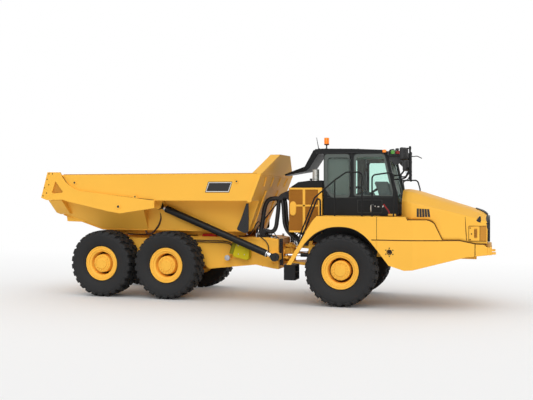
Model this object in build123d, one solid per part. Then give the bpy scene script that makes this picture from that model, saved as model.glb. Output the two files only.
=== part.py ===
from build123d import *
import math
import os

# Articulated six-wheel dump truck: a front unit with cab and hood, a hitch, and a
# rear unit with two driven axles and a tipping body.
# The model is drawn with X = 0 at the front axle, +X forwards, +Y to the left and
# Z = 0 on the ground, in millimetres. save() moves it to the frame of the part, whose
# origin lies on the ground below the middle of the whole machine.

# ---- overall ----
TAIL_X = -7466             # rear tip of the tail plates
NOSE_X = 3285              # front tip of the tow loops
TO_PART_FRAME = -(TAIL_X + NOSE_X) / 2

# ---- wheels and axles ----
TYRE_R = 800
TYRE_HALF_W = 310
WHEEL_Y = 1110             # centre plane of every wheel
MID_AXLE_X = -4160
REAR_AXLE_X = MID_AXLE_X - 2 * TYRE_R - 100
BOGIE_X = (MID_AXLE_X + REAR_AXLE_X) / 2
AXLE_Z = TYRE_R
RIM_FLANGE_R = 415
RIM_SEAT_R = 335
RIM_HALF_W = 240
SPINDLE_R = 120
RUN_FIT = 0.05             # radial clearance of a running fit
SEAT_GAP = 0.3             # gap between curved seats on one body
MOVE_GAP = 6               # gap between pieces that move past each other
HUB_IN = 120               # inner end of the hub, from the wheel's centre plane
SPINDLE_OUT = 55           # outer end of the spindle, from the wheel's centre plane
NOSE_REACH = 330           # how far an axle's drive flange stands from its centre
NOSE_RISE = 60             # and how far above it

# ---- hitch ----
PIVOT_X = -1450            # vertical steering pivot
HITCH_Z = 1040             # height of the roll axis
PIN_R = 60
SPIGOT_R = 150
NECK_TOP = (1210, 1275)    # upper hitch plate, bottom and top
NECK_LOW = (805, 870)

# ---- rear frame ----
HEAD_X = -1625             # front face of the rear frame
HEAD_HALF_W = 550
SLEEVE = 320               # length of the sleeve that holds the hitch's spigot
RAIL_Y = (330, 450)        # inner and outer face of the long rails
RAIL_Z = (1120, 1400)
PLATE = 50                 # thickness of heavy frame plates

# ---- dump body ----
BODY_HALF_W = 1400
BODY_TOP = 2950
LEDGE_Z = 2330             # underside of the overhanging side panels
TUB_FRONT_Y = 800          # half width of the tub below the ledge, at the front
TUB_REAR_Y = 1130          # and behind the hoist
TUB_BOTTOM_Y = 740
TUB_BOTTOM_Z = 1600
TUB_STEP_X = -4900         # where the tub widens behind the hoist
TUB_END_X = -6150          # where the floor starts to rise to the tail
TAIL_FLOOR_X = -7230
TAIL_FLOOR_Z = 1960
SKIN = 20
SIDE_T = 80                # thickness of the folded side panels
FRONT_FOOT = (-2035, 2300) # a point on the leaning front wall
FRONT_LEAN = 0.385         # X gained per unit of height
HEADBOARD_TOP = 3420
HEADBOARD_HALF_W = 460
HEADBOARD_DEPTH = 240
RAIL_PLATE_T = 45          # thickness of the tail and side rail plates
HINGE = (-6200, 1460)      # tipping hinge
HINGE_PIN_R = 45

# ---- hoist ----
HOIST_Y = 900
HOIST_TOP = (-4540, 2200)  # eye on the body
HOIST_LOW = (-1615, 1020)  # eye on the rear frame
BARREL_R = 82
ROD_R = 50
EYE_R = 95
HOIST_PIN_R = 40
HOIST_EYE_W = 100

# ---- steering cylinders ----
STEER_FRONT = (-400, 340)  # pivot on the front frame, X and distance from the centre
STEER_REAR = (-1480, 380)  # eye over the hitch's arm
STEER_R = 45
STEER_TRAVEL = 280         # how far the rods move out, or in, from their rest
STEER_ROD_R = 30
STEER_PIN_R = 25

# ---- front unit ----
FRONT_RAIL_Y = (460, 540)
FRONT_RAIL_Z = (1060, 1300)
DECK_Z = 2000
FENDER_Y = (820, 1420)     # inner and outer side of the front fenders
PANEL_T = 40
BEND_X = 1570              # where the side panels turn inwards
NOSE_PANEL = (3100, 940)   # front end of the side panels, X and distance from centre
STRUT_X = 170              # suspension struts, from the front axle
STRUT_Y = 604
TOWER_Z = 1250             # underside of the frame's towers over the struts
CAB_Y = 850
CAB_WALL = 50
CAB_FLOOR = DECK_Z
COOLER_Y = 800
COOLER_Z = (1600, 2630)
COVER_TOP = 2790
RAIL_R = 17                # handrail tube
MANIFOLD_X = -1420         # rear face of the hose manifold behind the cooler
HOOD_HINGE = (3050, 1412)
HOOD_PIN_R = 11
BUMPER_Z = (1180, 1350)
HOOD_SKIN = 30
DOOR_HINGE = (215, 864)
DOOR_HINGE_Z = (2250, 3080)
DOOR_GAP = 8
DOOR_PIN_R = 8
ROOF_REAR_X = -670


# ---------------------------------------------------------------- shape helpers
def block(x, y, z):
    """A box between the ends given for each axis."""
    size = [abs(b - a) for a, b in (x, y, z)]
    middle = [(a + b) / 2 for a, b in (x, y, z)]
    return Pos(*middle) * Box(*size)


def face_on(plane, points):
    return plane * make_face(Polyline(*points, close=True))


def side_prism(points, y):
    """An outline of (X, Z) points, extruded between two Y values."""
    plane = Plane(origin=(0, max(y), 0), x_dir=(1, 0, 0), z_dir=(0, -1, 0))
    return extrude(face_on(plane, points), max(y) - min(y))


def front_prism(points, x):
    """An outline of (Y, Z) points, extruded between two X values."""
    plane = Plane(origin=(min(x), 0, 0), x_dir=(0, 1, 0), z_dir=(1, 0, 0))
    return extrude(face_on(plane, points), max(x) - min(x))


def plan_prism(points, z):
    """An outline of (X, Y) points, extruded between two heights."""
    plane = Plane(origin=(0, 0, min(z)), x_dir=(1, 0, 0), z_dir=(0, 0, 1))
    return extrude(face_on(plane, points), max(z) - min(z))


def rod(start, end, radius):
    """A round bar from one point to another."""
    a = Vector(*start)
    along = Vector(*end) - a
    plane = Plane(origin=a, z_dir=along)
    bar = Cylinder(radius, along.length, align=(Align.CENTER, Align.CENTER, Align.MIN))
    return plane * bar


def bent_tube(points, radius, bends):
    """A round tube along straight runs joined by arcs."""
    path = FilletPolyline(*points, radius=bends)
    start = Plane(origin=path @ 0, z_dir=path % 0)
    return sweep(start * Circle(radius), path=path)


def mirrored(shape):
    return shape.mirror(Plane.XZ)


def symmetric(points):
    """Closes a half outline of (Y, Z) points with its mirror image."""
    return points + [(-y, z) for y, z in reversed(points)]


def turned(profile):
    """A body of revolution about the Y axis, from (radius, Y) points."""
    return revolve(make_face(Polyline(*profile, close=True)), Axis.Y)


def fuse(shapes):
    whole = shapes[0]
    for shape in shapes[1:]:
        whole = whole + shape
    return whole


def save(node, *shapes):
    solids = [solid for shape in shapes for solid in shape.solids()]
    placed = Compound(solids).moved(Location((TO_PART_FRAME, 0, 0)))
    export_step(placed, "parts/" + node + ".step")


# ---------------------------------------------------------------- wheels and axles
def tyre():
    """Outline columns: radius, distance from the wheel's centre plane."""
    half = [
        (RIM_SEAT_R + SEAT_GAP, 205),
        (RIM_FLANGE_R + 8, 212),
        (RIM_FLANGE_R + 25, 240),
        (560, 296),
        (680, TYRE_HALF_W),
        (755, TYRE_HALF_W - 14),
        (TYRE_R - 8, TYRE_HALF_W - 50),
        (TYRE_R, TYRE_HALF_W - 90),
    ]
    return turned(half + [(r, -y) for r, y in reversed(half)])


def rim():
    """The wheel with its planetary hub, outboard side towards +Y."""
    disc_in, disc_out = 70, 110
    bore = SPINDLE_R + RUN_FIT
    profile = [
        (0, SPINDLE_OUT + 4),
        (bore, SPINDLE_OUT + 4),
        (bore, -HUB_IN),
        (200, -HUB_IN),
        (200, disc_in),
        (RIM_SEAT_R - 25, disc_in),
        (RIM_SEAT_R - 25, -RIM_HALF_W),
        (RIM_FLANGE_R, -RIM_HALF_W),
        (RIM_FLANGE_R, -RIM_HALF_W + 25),
        (RIM_SEAT_R, -RIM_HALF_W + 25),
        (RIM_SEAT_R, RIM_HALF_W - 25),
        (RIM_FLANGE_R, RIM_HALF_W - 25),
        (RIM_FLANGE_R, RIM_HALF_W),
        (RIM_SEAT_R - 25, RIM_HALF_W),
        (RIM_SEAT_R - 35, disc_out),
        (225, disc_out),
        (215, 190),
        (150, 205),
        (140, 232),
        (0, 236),
    ]
    return turned(profile)


def make_wheels():
    axles = [("front", 0), ("middle", MID_AXLE_X), ("rear", REAR_AXLE_X)]
    left_tyre = tyre()
    left_rim = rim()
    for name, x in axles:
        place = Pos(x, WHEEL_Y, AXLE_Z)
        save("tyre_" + name + "_left", place * left_tyre)
        save("rim_" + name + "_left", place * left_rim)
        save("tyre_" + name + "_right", mirrored(place * left_tyre))
        save("rim_" + name + "_right", mirrored(place * left_rim))


def axle(noses):
    """A driven axle housing at the origin; noses lists the sides with a drive flange."""
    inner = WHEEL_Y - HUB_IN
    half = [
        (0, WHEEL_Y + SPINDLE_OUT),
        (SPINDLE_R, WHEEL_Y + SPINDLE_OUT),
        (SPINDLE_R, inner - 12),
        (175, inner - 12),
        (175, inner - 45),
        (SPINDLE_R, inner - 60),
        (105, 640),
        (105, 330),
        (190, 200),
        (225, 80),
    ]
    body = turned(half + [(r, -y) for r, y in reversed(half)])
    for side in noses:
        body = body + rod((0, 0, NOSE_RISE), (side * NOSE_REACH, 0, NOSE_RISE), 110)
    return body


def make_axles():
    for name, x, noses in [
        ("axle_front", 0, [-1]),
        ("axle_middle", MID_AXLE_X, [1, -1]),
        ("axle_rear", REAR_AXLE_X, [1]),
    ]:
        save(name, Pos(x, 0, AXLE_Z) * axle(noses))


# ---------------------------------------------------------------- rear unit
def make_rear_frame():
    outline = [
        (HEAD_X, 705), (HEAD_X, 1410), (-1850, 1450), (-3900, 1450),
        (-4000, RAIL_Z[1]), (-4000, RAIL_Z[0]), (-3750, 1000), (-3380, 667),
        (-2180, 798), (-1760, 720),
    ]
    inner = [
        (HEAD_X - 60, 760), (HEAD_X - 60, 1350), (-1880, 1395), (-4100, 1395),
        (-4100, 1160), (-3780, 1060), (-3400, 725), (-2180, 850), (-1780, 775),
    ]
    head = side_prism(outline, (-HEAD_HALF_W, HEAD_HALF_W))
    head = head - side_prism(inner, (-HEAD_HALF_W + PLATE, HEAD_HALF_W - PLATE))
    sleeve_end = HEAD_X - SLEEVE
    sleeve = rod((HEAD_X, 0, HITCH_Z), (sleeve_end, 0, HITCH_Z), SPIGOT_R + 45)
    head = head + sleeve
    bore_start = (HEAD_X + 10, 0, HITCH_Z)
    head = head - rod(bore_start, (sleeve_end - 10, 0, HITCH_Z), SPIGOT_R + RUN_FIT)
    head = head - block((-4150, -3250), (-130, 130), (650, 1200))
    pieces = [head]
    hinge_x, hinge_z = HINGE
    for y in (RAIL_Y, (-RAIL_Y[1], -RAIL_Y[0])):
        rail = [(-3950, RAIL_Z[0]), (-3950, RAIL_Z[1]), (hinge_x - 60, RAIL_Z[1]),
                (hinge_x - 130, RAIL_Z[1] - 80), (hinge_x - 130, RAIL_Z[0])]
        pieces.append(side_prism(rail, y))
        lug = [(hinge_x - 75, RAIL_Z[1] - 20), (hinge_x - 75, hinge_z + 40),
               (hinge_x - 40, hinge_z + 75), (hinge_x + 40, hinge_z + 75),
               (hinge_x + 75, hinge_z + 40), (hinge_x + 150, RAIL_Z[1] - 20)]
        pieces.append(side_prism(lug, y))
    for x in (-4700, -5300, hinge_x - 70):
        pieces.append(block((x - 50, x + 50), (-RAIL_Y[0], RAIL_Y[0]), (1150, 1350)))
    # trunnion brackets that carry the rocking beams, outside the rails
    bracket_y = (660, 700)
    bracket = [(BOGIE_X - 330, 1390), (BOGIE_X + 360, 1390), (BOGIE_X + 110, AXLE_Z - 40),
               (BOGIE_X + 40, AXLE_Z - 110), (BOGIE_X - 40, AXLE_Z - 110),
               (BOGIE_X - 110, AXLE_Z - 40)]
    for side in (1, -1):
        pieces.append(side_prism(bracket, [side * y for y in bracket_y]))
        shelf_y = (side * RAIL_Y[1], side * bracket_y[0])
        pieces.append(block((BOGIE_X - 300, BOGIE_X + 330), shelf_y, (1330, 1390)))
        trunnion = (side * RAIL_Y[0], side * bracket_y[1])
        pieces.append(rod((BOGIE_X, trunnion[0], AXLE_Z), (BOGIE_X, trunnion[1], AXLE_Z), 75))
        inner_leg = [(BOGIE_X - 200, 1160), (BOGIE_X + 200, 1160), (BOGIE_X + 100, AXLE_Z - 60),
                     (BOGIE_X, AXLE_Z - 100), (BOGIE_X - 100, AXLE_Z - 60)]
        pieces.append(side_prism(inner_leg, (side * RAIL_Y[0], side * (RAIL_Y[0] + 60))))
    # hoist brackets at the front corners, inboard of the rod eyes
    eye_x, eye_z = HOIST_LOW
    eye_in = HOIST_Y - HOIST_EYE_W / 2 - MOVE_GAP
    arm = [(eye_x - 170, eye_z - 110), (eye_x - 170, eye_z + 60), (eye_x - 60, eye_z + 85),
           (eye_x + 60, eye_z + 60), (eye_x + 70, eye_z - 60), (eye_x, eye_z - 110)]
    for side in (1, -1):
        pieces.append(side_prism(arm, (side * (HEAD_HALF_W - 30), side * (eye_in - 30))))
        pieces.append(rod((eye_x, side * (eye_in - 30), eye_z), (eye_x, side * eye_in, eye_z), 70))
    # cross shaft pads that the body rests on
    for x in (-2600, -3600):
        for side in (1, -1):
            pad_y = (side * 380, side * 500)
            pieces.append(block((x - 90, x + 90), pad_y, (1440, 1480)))
    frame = fuse(pieces)
    for side in (1, -1):
        hinge_y = (side * (RAIL_Y[0] - 40), side * (RAIL_Y[1] + 40))
        frame = frame - rod((hinge_x, hinge_y[0], hinge_z), (hinge_x, hinge_y[1], hinge_z),
                            HINGE_PIN_R + RUN_FIT)
        hole = [side * y for y in (600, 760)]
        frame = frame - rod((BOGIE_X + 35, hole[0], 1290), (BOGIE_X + 35, hole[1], 1290), 32)
    save("rear_frame", frame)


def make_bogie_beams():
    boss_r = 165
    bore = 105 + SEAT_GAP
    y = (500, 640)
    outline = [
        (REAR_AXLE_X - 60, AXLE_Z + 110), (REAR_AXLE_X + 120, AXLE_Z + 130),
        (BOGIE_X, AXLE_Z + 165), (MID_AXLE_X - 120, AXLE_Z + 130), (MID_AXLE_X + 60, AXLE_Z + 110),
        (MID_AXLE_X + 60, AXLE_Z - 110), (BOGIE_X + 200, AXLE_Z - 165),
        (BOGIE_X - 200, AXLE_Z - 165), (REAR_AXLE_X - 60, AXLE_Z - 110),
    ]
    beam = side_prism(outline, y)
    for x in (MID_AXLE_X, REAR_AXLE_X):
        beam = beam + rod((x, y[0], AXLE_Z), (x, y[1], AXLE_Z), boss_r)
    for x in (MID_AXLE_X, REAR_AXLE_X):
        beam = beam - rod((x, y[0] - 10, AXLE_Z), (x, y[1] + 10, AXLE_Z), bore)
    beam = beam - rod((BOGIE_X, y[0] - 10, AXLE_Z), (BOGIE_X, y[1] + 10, AXLE_Z), 75 + SEAT_GAP)
    save("bogie_beams", beam, mirrored(beam))


def drive_shaft(x, z, radius):
    """A propeller shaft with a flange at each end; x and z list rear and front ends."""
    flange_t = 30
    tube = rod((x[0] + flange_t - 4, 0, z[0]), (x[1] - flange_t + 4, 0, z[1]), radius)
    rear = rod((x[0], 0, z[0]), (x[0] + flange_t, 0, z[0]), radius * 1.4)
    front = rod((x[1] - flange_t, 0, z[1]), (x[1], 0, z[1]), radius * 1.4)
    return tube + rear + front


def make_rear_driveline():
    z = AXLE_Z + NOSE_RISE
    reach = NOSE_REACH + SEAT_GAP
    front_shaft = drive_shaft((MID_AXLE_X + reach, HEAD_X - SLEEVE - 8), (z, HITCH_Z), 55)
    rear_shaft = drive_shaft((REAR_AXLE_X + reach, MID_AXLE_X - reach), (z, z), 55)
    save("rear_driveline", front_shaft, rear_shaft)


def make_rear_details():
    """Tail lamp bar on the frame's end, and the oil strut beside its head."""
    hinge_x = HINGE[0]
    bar = block((hinge_x - 170, hinge_x - 130), (-620, 620), (1150, 1290))
    lamps = [block((hinge_x - 215, hinge_x - 170), (side * 430, side * 600), (1165, 1275))
             for side in (1, -1)]
    save("tail_lamps", fuse([bar] + lamps))
    tank = []
    for side in (1, -1):
        y = (side * (HEAD_HALF_W + SEAT_GAP), side * 780)
        tank.append(side_prism([(-2850, 930), (-2700, 1330), (-2420, 1330), (-2300, 1260),
                                (-2300, 900), (-2700, 900)], y))
    save("side_tanks", *tank)


def make_hitch():
    column = rod((PIVOT_X, 0, NECK_LOW[1] + 2), (PIVOT_X, 0, NECK_TOP[0] - 2), 110)
    pin = rod((PIVOT_X, 0, NECK_LOW[0] - 30), (PIVOT_X, 0, NECK_TOP[1] + 30), PIN_R)
    web_x = HEAD_X + 45
    web = block((web_x, PIVOT_X), (-130, 130), (NECK_LOW[1] + 30, NECK_TOP[0] - 30))
    flange_r = (NECK_TOP[0] - NECK_LOW[1]) / 2 - MOVE_GAP
    flange = rod((HEAD_X + MOVE_GAP, 0, HITCH_Z), (web_x + 10, 0, HITCH_Z), flange_r)
    spigot = rod((HEAD_X - SLEEVE, 0, HITCH_Z), (HEAD_X + 20, 0, HITCH_Z), SPIGOT_R)
    eye_x, eye_y = STEER_REAR
    arm_points = [(web_x, -eye_y - 60), (eye_x + 60, -eye_y - 60), (eye_x + 60, -130),
                  (eye_x + 60, 130), (eye_x + 60, eye_y + 60), (web_x, eye_y + 60)]
    arms = plan_prism(arm_points, (HITCH_Z - 85, HITCH_Z - 55))
    boss_z = (HITCH_Z - 60, HITCH_Z - STEER_ROD_R - MOVE_GAP)
    bosses = [rod((eye_x, y, boss_z[0]), (eye_x, y, boss_z[1]), 45) for y in (-eye_y, eye_y)]
    save("hitch", fuse([column, pin, web, flange, spigot, arms] + bosses))


# ---------------------------------------------------------------- dump body
def front_wall_x(z):
    return FRONT_FOOT[0] + FRONT_LEAN * (z - FRONT_FOOT[1])


def leaning_slab(back, front, z, half_width):
    """A slab parallel to the front wall, between two offsets behind its face."""
    points = [(front_wall_x(z[0]) - back, z[0]), (front_wall_x(z[1]) - back, z[1]),
              (front_wall_x(z[1]) - front, z[1]), (front_wall_x(z[0]) - front, z[0])]
    return side_prism(points, (-half_width, half_width))


def tub_section(wall_y, inset, top, bottom_y=TUB_BOTTOM_Y, bottom_z=TUB_BOTTOM_Z):
    """Half outline (Y, Z) of the load body, inset by its wall thickness."""
    side = SIDE_T if inset else 0
    return [
        (BODY_HALF_W - side, top),
        (BODY_HALF_W - side, LEDGE_Z + inset),
        (wall_y - inset, LEDGE_Z + inset),
        (bottom_y - inset, bottom_z + inset),
    ]


def tub_shape(inset, top, front_x, step_x):
    """The load body's outline: narrow in front, wide behind, and rising at the tail."""
    narrow = front_prism(symmetric(tub_section(TUB_FRONT_Y, inset, top)), (step_x, front_x))
    wide = front_prism(symmetric(tub_section(TUB_REAR_Y, inset, top)), (TUB_END_X, step_x))
    stations = [(TUB_END_X, tub_section(TUB_REAR_Y, inset, top)),
                (TAIL_FLOOR_X, tub_section(TUB_REAR_Y + 60, inset, top, TUB_BOTTOM_Y + 60,
                                           TAIL_FLOOR_Z))]
    faces = [face_on(Plane(origin=(x, 0, 0), x_dir=(0, 1, 0), z_dir=(1, 0, 0)), symmetric(half))
             for x, half in stations]
    return narrow + wide + loft(faces)


def make_dump_body():
    front_x = front_wall_x(HEADBOARD_TOP) + 50
    open_top = BODY_TOP + 50
    outer = tub_shape(0, BODY_TOP, front_x, TUB_STEP_X)
    inner = tub_shape(SKIN, open_top, front_x, TUB_STEP_X - SKIN)
    inner = inner + block((TAIL_X - 50, TAIL_FLOOR_X), (-BODY_HALF_W + SIDE_T, BODY_HALF_W - SIDE_T),
                          (TAIL_FLOOR_Z + SKIN, open_top))
    low, high = TUB_BOTTOM_Z - 200, HEADBOARD_TOP + 200
    behind_front = leaning_slab(9000, 0, (low, high), BODY_HALF_W + 100)
    inside_front = leaning_slab(9000, 30, (low, high), BODY_HALF_W + 100)
    tub = (outer & behind_front) - (inner & inside_front)
    # headboard: a trapezoid with a deep folded edge
    trapezoid = [(BODY_HALF_W, BODY_TOP - 40), (BODY_HALF_W, BODY_TOP - 10),
                 (HEADBOARD_HALF_W, HEADBOARD_TOP)]
    edge = [(BODY_HALF_W - 90, BODY_TOP - 60), (BODY_HALF_W - 90, BODY_TOP - 10),
            (HEADBOARD_HALF_W - 15, HEADBOARD_TOP - 30)]
    board = front_prism(symmetric(trapezoid), (-3000, front_x + 200))
    hollow = front_prism(symmetric(edge), (-3100, front_x + 300))
    board = board & leaning_slab(HEADBOARD_DEPTH, 0, (low, high), BODY_HALF_W + 100)
    board = board - (hollow & leaning_slab(HEADBOARD_DEPTH + 90, 30, (low, high), BODY_HALF_W + 100))
    pieces = [tub, board]
    for side in (1, -1):
        # front post at each end of the front wall
        post_y = (side * (BODY_HALF_W - SIDE_T), side * (BODY_HALF_W + 25))
        post = [(front_wall_x(2300) - 90, 2300), (front_wall_x(BODY_TOP) - 90, BODY_TOP),
                (front_wall_x(BODY_TOP), BODY_TOP), (front_wall_x(2300), 2300)]
        pieces.append(side_prism(post, post_y))
        # keel beams under the floor, resting on the frame's pads
        keel_y = (side * 380, side * 500)
        keel = [(-2450, TUB_BOTTOM_Z + 5), (-2450, 1530), (-2500, 1480 + MOVE_GAP),
                (-5980, 1480 + MOVE_GAP), (-6060, 1530), (-6060, TUB_BOTTOM_Z + 5)]
        pieces.append(side_prism(keel, keel_y))
        # hinge ears inside the frame's rails
        hx, hz = HINGE
        ear_y = (side * (RAIL_Y[0] - MOVE_GAP - 70), side * (RAIL_Y[0] - MOVE_GAP))
        ear = [(hx - 75, hz - 40), (hx - 40, hz - 75), (hx + 40, hz - 75), (hx + 75, hz - 40),
               (hx + 260, TUB_BOTTOM_Z + 10), (hx - 60, TUB_BOTTOM_Z + 10)]
        pieces.append(side_prism(ear, ear_y))
        pin_y = (side * (RAIL_Y[0] - MOVE_GAP - 80), side * (RAIL_Y[1] + 30))
        pieces.append(rod((hx, pin_y[0], hz), (hx, pin_y[1], hz), HINGE_PIN_R))
    save("dump_body", fuse(pieces))


def tail_plate(side):
    """The plate beside the tail with the long rail that runs forward from it."""
    y = (side * (BODY_HALF_W + SEAT_GAP), side * (BODY_HALF_W + RAIL_PLATE_T))
    outline = Polyline((-6890, 2930), (-6939, 3014), (-7283, 3017), (TAIL_X, 2387),
                       (-7310, 2330), (-6850, 2340), (-5580, 2060), (-5300, 2020),
                       (-4415, 2150), (-4415, 2330), (-4600, 2352), (-6370, 2560))
    arc = ThreePointArc((-6370, 2560), (-6680, 2700), (-6890, 2930))
    plane = Plane(origin=(0, max(y), 0), x_dir=(1, 0, 0), z_dir=(0, -1, 0))
    plate = extrude(plane * make_face([*outline.edges(), arc]), RAIL_PLATE_T - SEAT_GAP)
    window = [(-7060, 2790), (-7160, 2520), (-7120, 2495), (-6870, 2515), (-6860, 2545)]
    cut_y = (y[0] - side * 50, y[1] + side * 50)
    plate = plate - side_prism(window, cut_y)
    for x, z in BOLT_HOLES:
        plate = plate - rod((x, cut_y[0], z), (x, cut_y[1], z), 17)
    return plate


# (X, Z) of the tail plate's bolt holes
BOLT_HOLES = [(-7240, 2976), (-7146, 2976), (-7293, 2843), (-7248, 2709), (-7371, 2633),
              (-7313, 2504), (-7410, 2432)]


def make_body_rails():
    rails = []
    for side in (1, -1):
        # the rail's lower edge is folded in towards the tub
        flange_y = (side * (TUB_REAR_Y + 70), side * (BODY_HALF_W + RAIL_PLATE_T))
        flange = [(-6850, LEDGE_Z - 5), (-5580, 2060), (-5300, 2020), (-4900, 2079),
                  (-4900, 2099), (-5300, 2040), (-5580, 2080), (-6750, LEDGE_Z - 5)]
        rails.append(tail_plate(side) + side_prism(flange, flange_y))
    save("body_rails", *rails)


# ---------------------------------------------------------------- hoist
def hoist_point(distance):
    """A point on the hoist's centre line, at a distance below its upper eye."""
    (x0, z0), (x1, z1) = HOIST_TOP, HOIST_LOW
    length = math.hypot(x1 - x0, z1 - z0)
    return x0 + (x1 - x0) * distance / length, HOIST_Y, z0 + (z1 - z0) * distance / length


HOIST_LENGTH = math.hypot(HOIST_LOW[0] - HOIST_TOP[0], HOIST_LOW[1] - HOIST_TOP[1])
BARREL_END = HOIST_LENGTH - 190


def make_hoist():
    half_eye = HOIST_EYE_W / 2
    x, z = HOIST_TOP
    eye = rod((x, HOIST_Y - half_eye, z), (x, HOIST_Y + half_eye, z), EYE_R)
    neck = rod(hoist_point(0), hoist_point(240), 46)
    barrel = rod(hoist_point(215), hoist_point(BARREL_END), BARREL_R) + neck + eye
    barrel = barrel - rod((x, HOIST_Y - 80, z), (x, HOIST_Y + 80, z), HOIST_PIN_R + RUN_FIT)
    barrel = barrel - rod(hoist_point(400), hoist_point(BARREL_END + 5), ROD_R + RUN_FIT)
    save("hoist_barrels", barrel, mirrored(barrel))
    x, z = HOIST_LOW
    low_eye = rod((x, HOIST_Y - half_eye, z), (x, HOIST_Y + half_eye, z), EYE_R)
    rod_bar = rod(hoist_point(420), hoist_point(HOIST_LENGTH - 60), ROD_R) + low_eye
    save("hoist_rods", rod_bar, mirrored(rod_bar))


def make_hoist_brackets():
    """Hangers under the body's ledge with the pins of the hoist's upper eyes."""
    x, z = HOIST_TOP
    brackets = []
    for side in (1, -1):
        pieces = []
        for y0 in (HOIST_Y - HOIST_EYE_W / 2 - 45, HOIST_Y + HOIST_EYE_W / 2 + 5):
            hanger = [(x - 150, LEDGE_Z - SEAT_GAP), (x + 130, LEDGE_Z - SEAT_GAP),
                      (x + 70, z - 60), (x, z - 90), (x - 70, z - 60)]
            pieces.append(side_prism(hanger, (side * y0, side * (y0 + 40))))
        pin_y = (side * (HOIST_Y - 100), side * (HOIST_Y + 110))
        pieces.append(rod((x, pin_y[0], z), (x, pin_y[1], z), HOIST_PIN_R))
        brackets.append(fuse(pieces))
    save("hoist_brackets", *brackets)


# ---------------------------------------------------------------- steering cylinders
def make_steering():
    (x0, y0), (x1, y1) = STEER_FRONT, STEER_REAR
    length = math.hypot(x1 - x0, y1 - y0)
    ux, uy = (x1 - x0) / length, (y1 - y0) / length

    def at(distance):
        return x0 + ux * distance, y0 + uy * distance, HITCH_Z

    eye = rod((x0, y0, HITCH_Z - 20), (x0, y0, HITCH_Z + 20), 55)
    barrel_end = length - STEER_TRAVEL - 72
    barrel = rod(at(78), at(barrel_end), STEER_R) + rod(at(0), at(90), 20) + eye
    barrel = barrel - rod((x0, y0, HITCH_Z - 60), (x0, y0, HITCH_Z + 60), STEER_PIN_R + RUN_FIT)
    bore_start = 92
    barrel = barrel - rod(at(bore_start), at(length), STEER_ROD_R + RUN_FIT)
    rod_eye = rod((x1, y1, HITCH_Z - 20), (x1, y1, HITCH_Z + 20), 52)
    rod_start = bore_start + STEER_TRAVEL + 3
    steer_rod = rod(at(rod_start), at(length - 30), STEER_ROD_R) + rod_eye
    save("steer_barrel_left", barrel)
    save("steer_barrel_right", mirrored(barrel))
    save("steer_rod_left", steer_rod)
    save("steer_rod_right", mirrored(steer_rod))


# ---------------------------------------------------------------- front frame
def make_front_frame():
    pieces = []
    neck_front = {NECK_TOP: -450, NECK_LOW: -500}
    half_w = FRONT_RAIL_Y[1]
    for z, front in neck_front.items():
        outline = [(front, -half_w), (-900, -half_w), (PIVOT_X + 60, -150),
                   (PIVOT_X + 60, 150), (-900, half_w), (front, half_w)]
        pieces.append(plan_prism(outline, z) + rod((PIVOT_X, 0, z[0]), (PIVOT_X, 0, z[1]), 165))
    for side in (1, -1):
        y = (side * FRONT_RAIL_Y[0], side * FRONT_RAIL_Y[1])
        pieces.append(block((-900, 2880), y, FRONT_RAIL_Z))
        web = [(-900, NECK_LOW[0]), (-900, NECK_TOP[1]), (-450, NECK_TOP[1]), (-250, 1100),
               (-500, NECK_LOW[0])]
        pieces.append(side_prism(web, y))
        # posts and outriggers that carry the cab and the fenders' deck
        for x in (-420, 420):
            pieces.append(block((x - 50, x + 50), y, (FRONT_RAIL_Z[1] - 5, CAB_FLOOR - SEAT_GAP)))
            reach = (side * FRONT_RAIL_Y[0], side * (FENDER_Y[1] - 95))
            pieces.append(block((x - 50, x + 50), reach, (1900, DECK_Z - PANEL_T - SEAT_GAP)))
        tower_y = (side * (FRONT_RAIL_Y[1] - 5), side * (STRUT_Y + 60))
        pieces.append(block((-STRUT_X - 70, STRUT_X + 70), tower_y, (TOWER_Z, TOWER_Z + 120)))
        # brackets of the steering cylinders
        x, cylinder_y = STEER_FRONT
        bracket_y = (side * (cylinder_y - 55), side * (FRONT_RAIL_Y[0] + 10))
        for z in ((HITCH_Z - 55, HITCH_Z - 26), (HITCH_Z + 26, HITCH_Z + 55)):
            pieces.append(block((x - 58, -290), bracket_y, z))
        pieces.append(block((-330, -290), bracket_y, (HITCH_Z - 55, 1240)))
        pin_z = (HITCH_Z - 70, HITCH_Z + 70)
        pieces.append(rod((x, side * cylinder_y, pin_z[0]), (x, side * cylinder_y, pin_z[1]),
                          STEER_PIN_R))
    for x in (-330, 820, 1900, 2800):
        pieces.append(block((x - 50, x + 50), (-FRONT_RAIL_Y[0], FRONT_RAIL_Y[0]), (1080, 1240)))
    frame = fuse(pieces)
    frame = frame - rod((PIVOT_X, 0, 700), (PIVOT_X, 0, 1400), PIN_R + RUN_FIT)
    save("front_frame", frame)


def make_front_suspension():
    """Struts that stand on the axle's saddles, under the frame's towers."""
    units = []
    for side in (1, -1):
        saddle = block((-STRUT_X - 60, STRUT_X + 60), (side * 555, side * 650),
                       (AXLE_Z + 106, AXLE_Z + 140))
        struts = [rod((x, side * STRUT_Y, AXLE_Z + 130), (x, side * STRUT_Y, TOWER_Z - SEAT_GAP), 46)
                  for x in (-STRUT_X, STRUT_X)]
        units.append(fuse([saddle] + struts))
    save("front_suspension", *units)


def make_engine():
    bed = 1240 + SEAT_GAP
    engine = block((560, 2100), (-380, 380), (bed, 1900))
    gearbox = block((-370, 500), (-250, 250), (bed, 1780))
    transfer_front = -505
    transfer = block((-700, transfer_front), (-140, 140),
                     (NECK_LOW[1] + SEAT_GAP, NECK_TOP[0] - SEAT_GAP))
    save("engine", engine, gearbox, transfer)
    shaft = drive_shaft((transfer_front + SEAT_GAP, -NOSE_REACH - SEAT_GAP),
                        (930, AXLE_Z + NOSE_RISE), 42)
    save("front_driveline", shaft)


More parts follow.
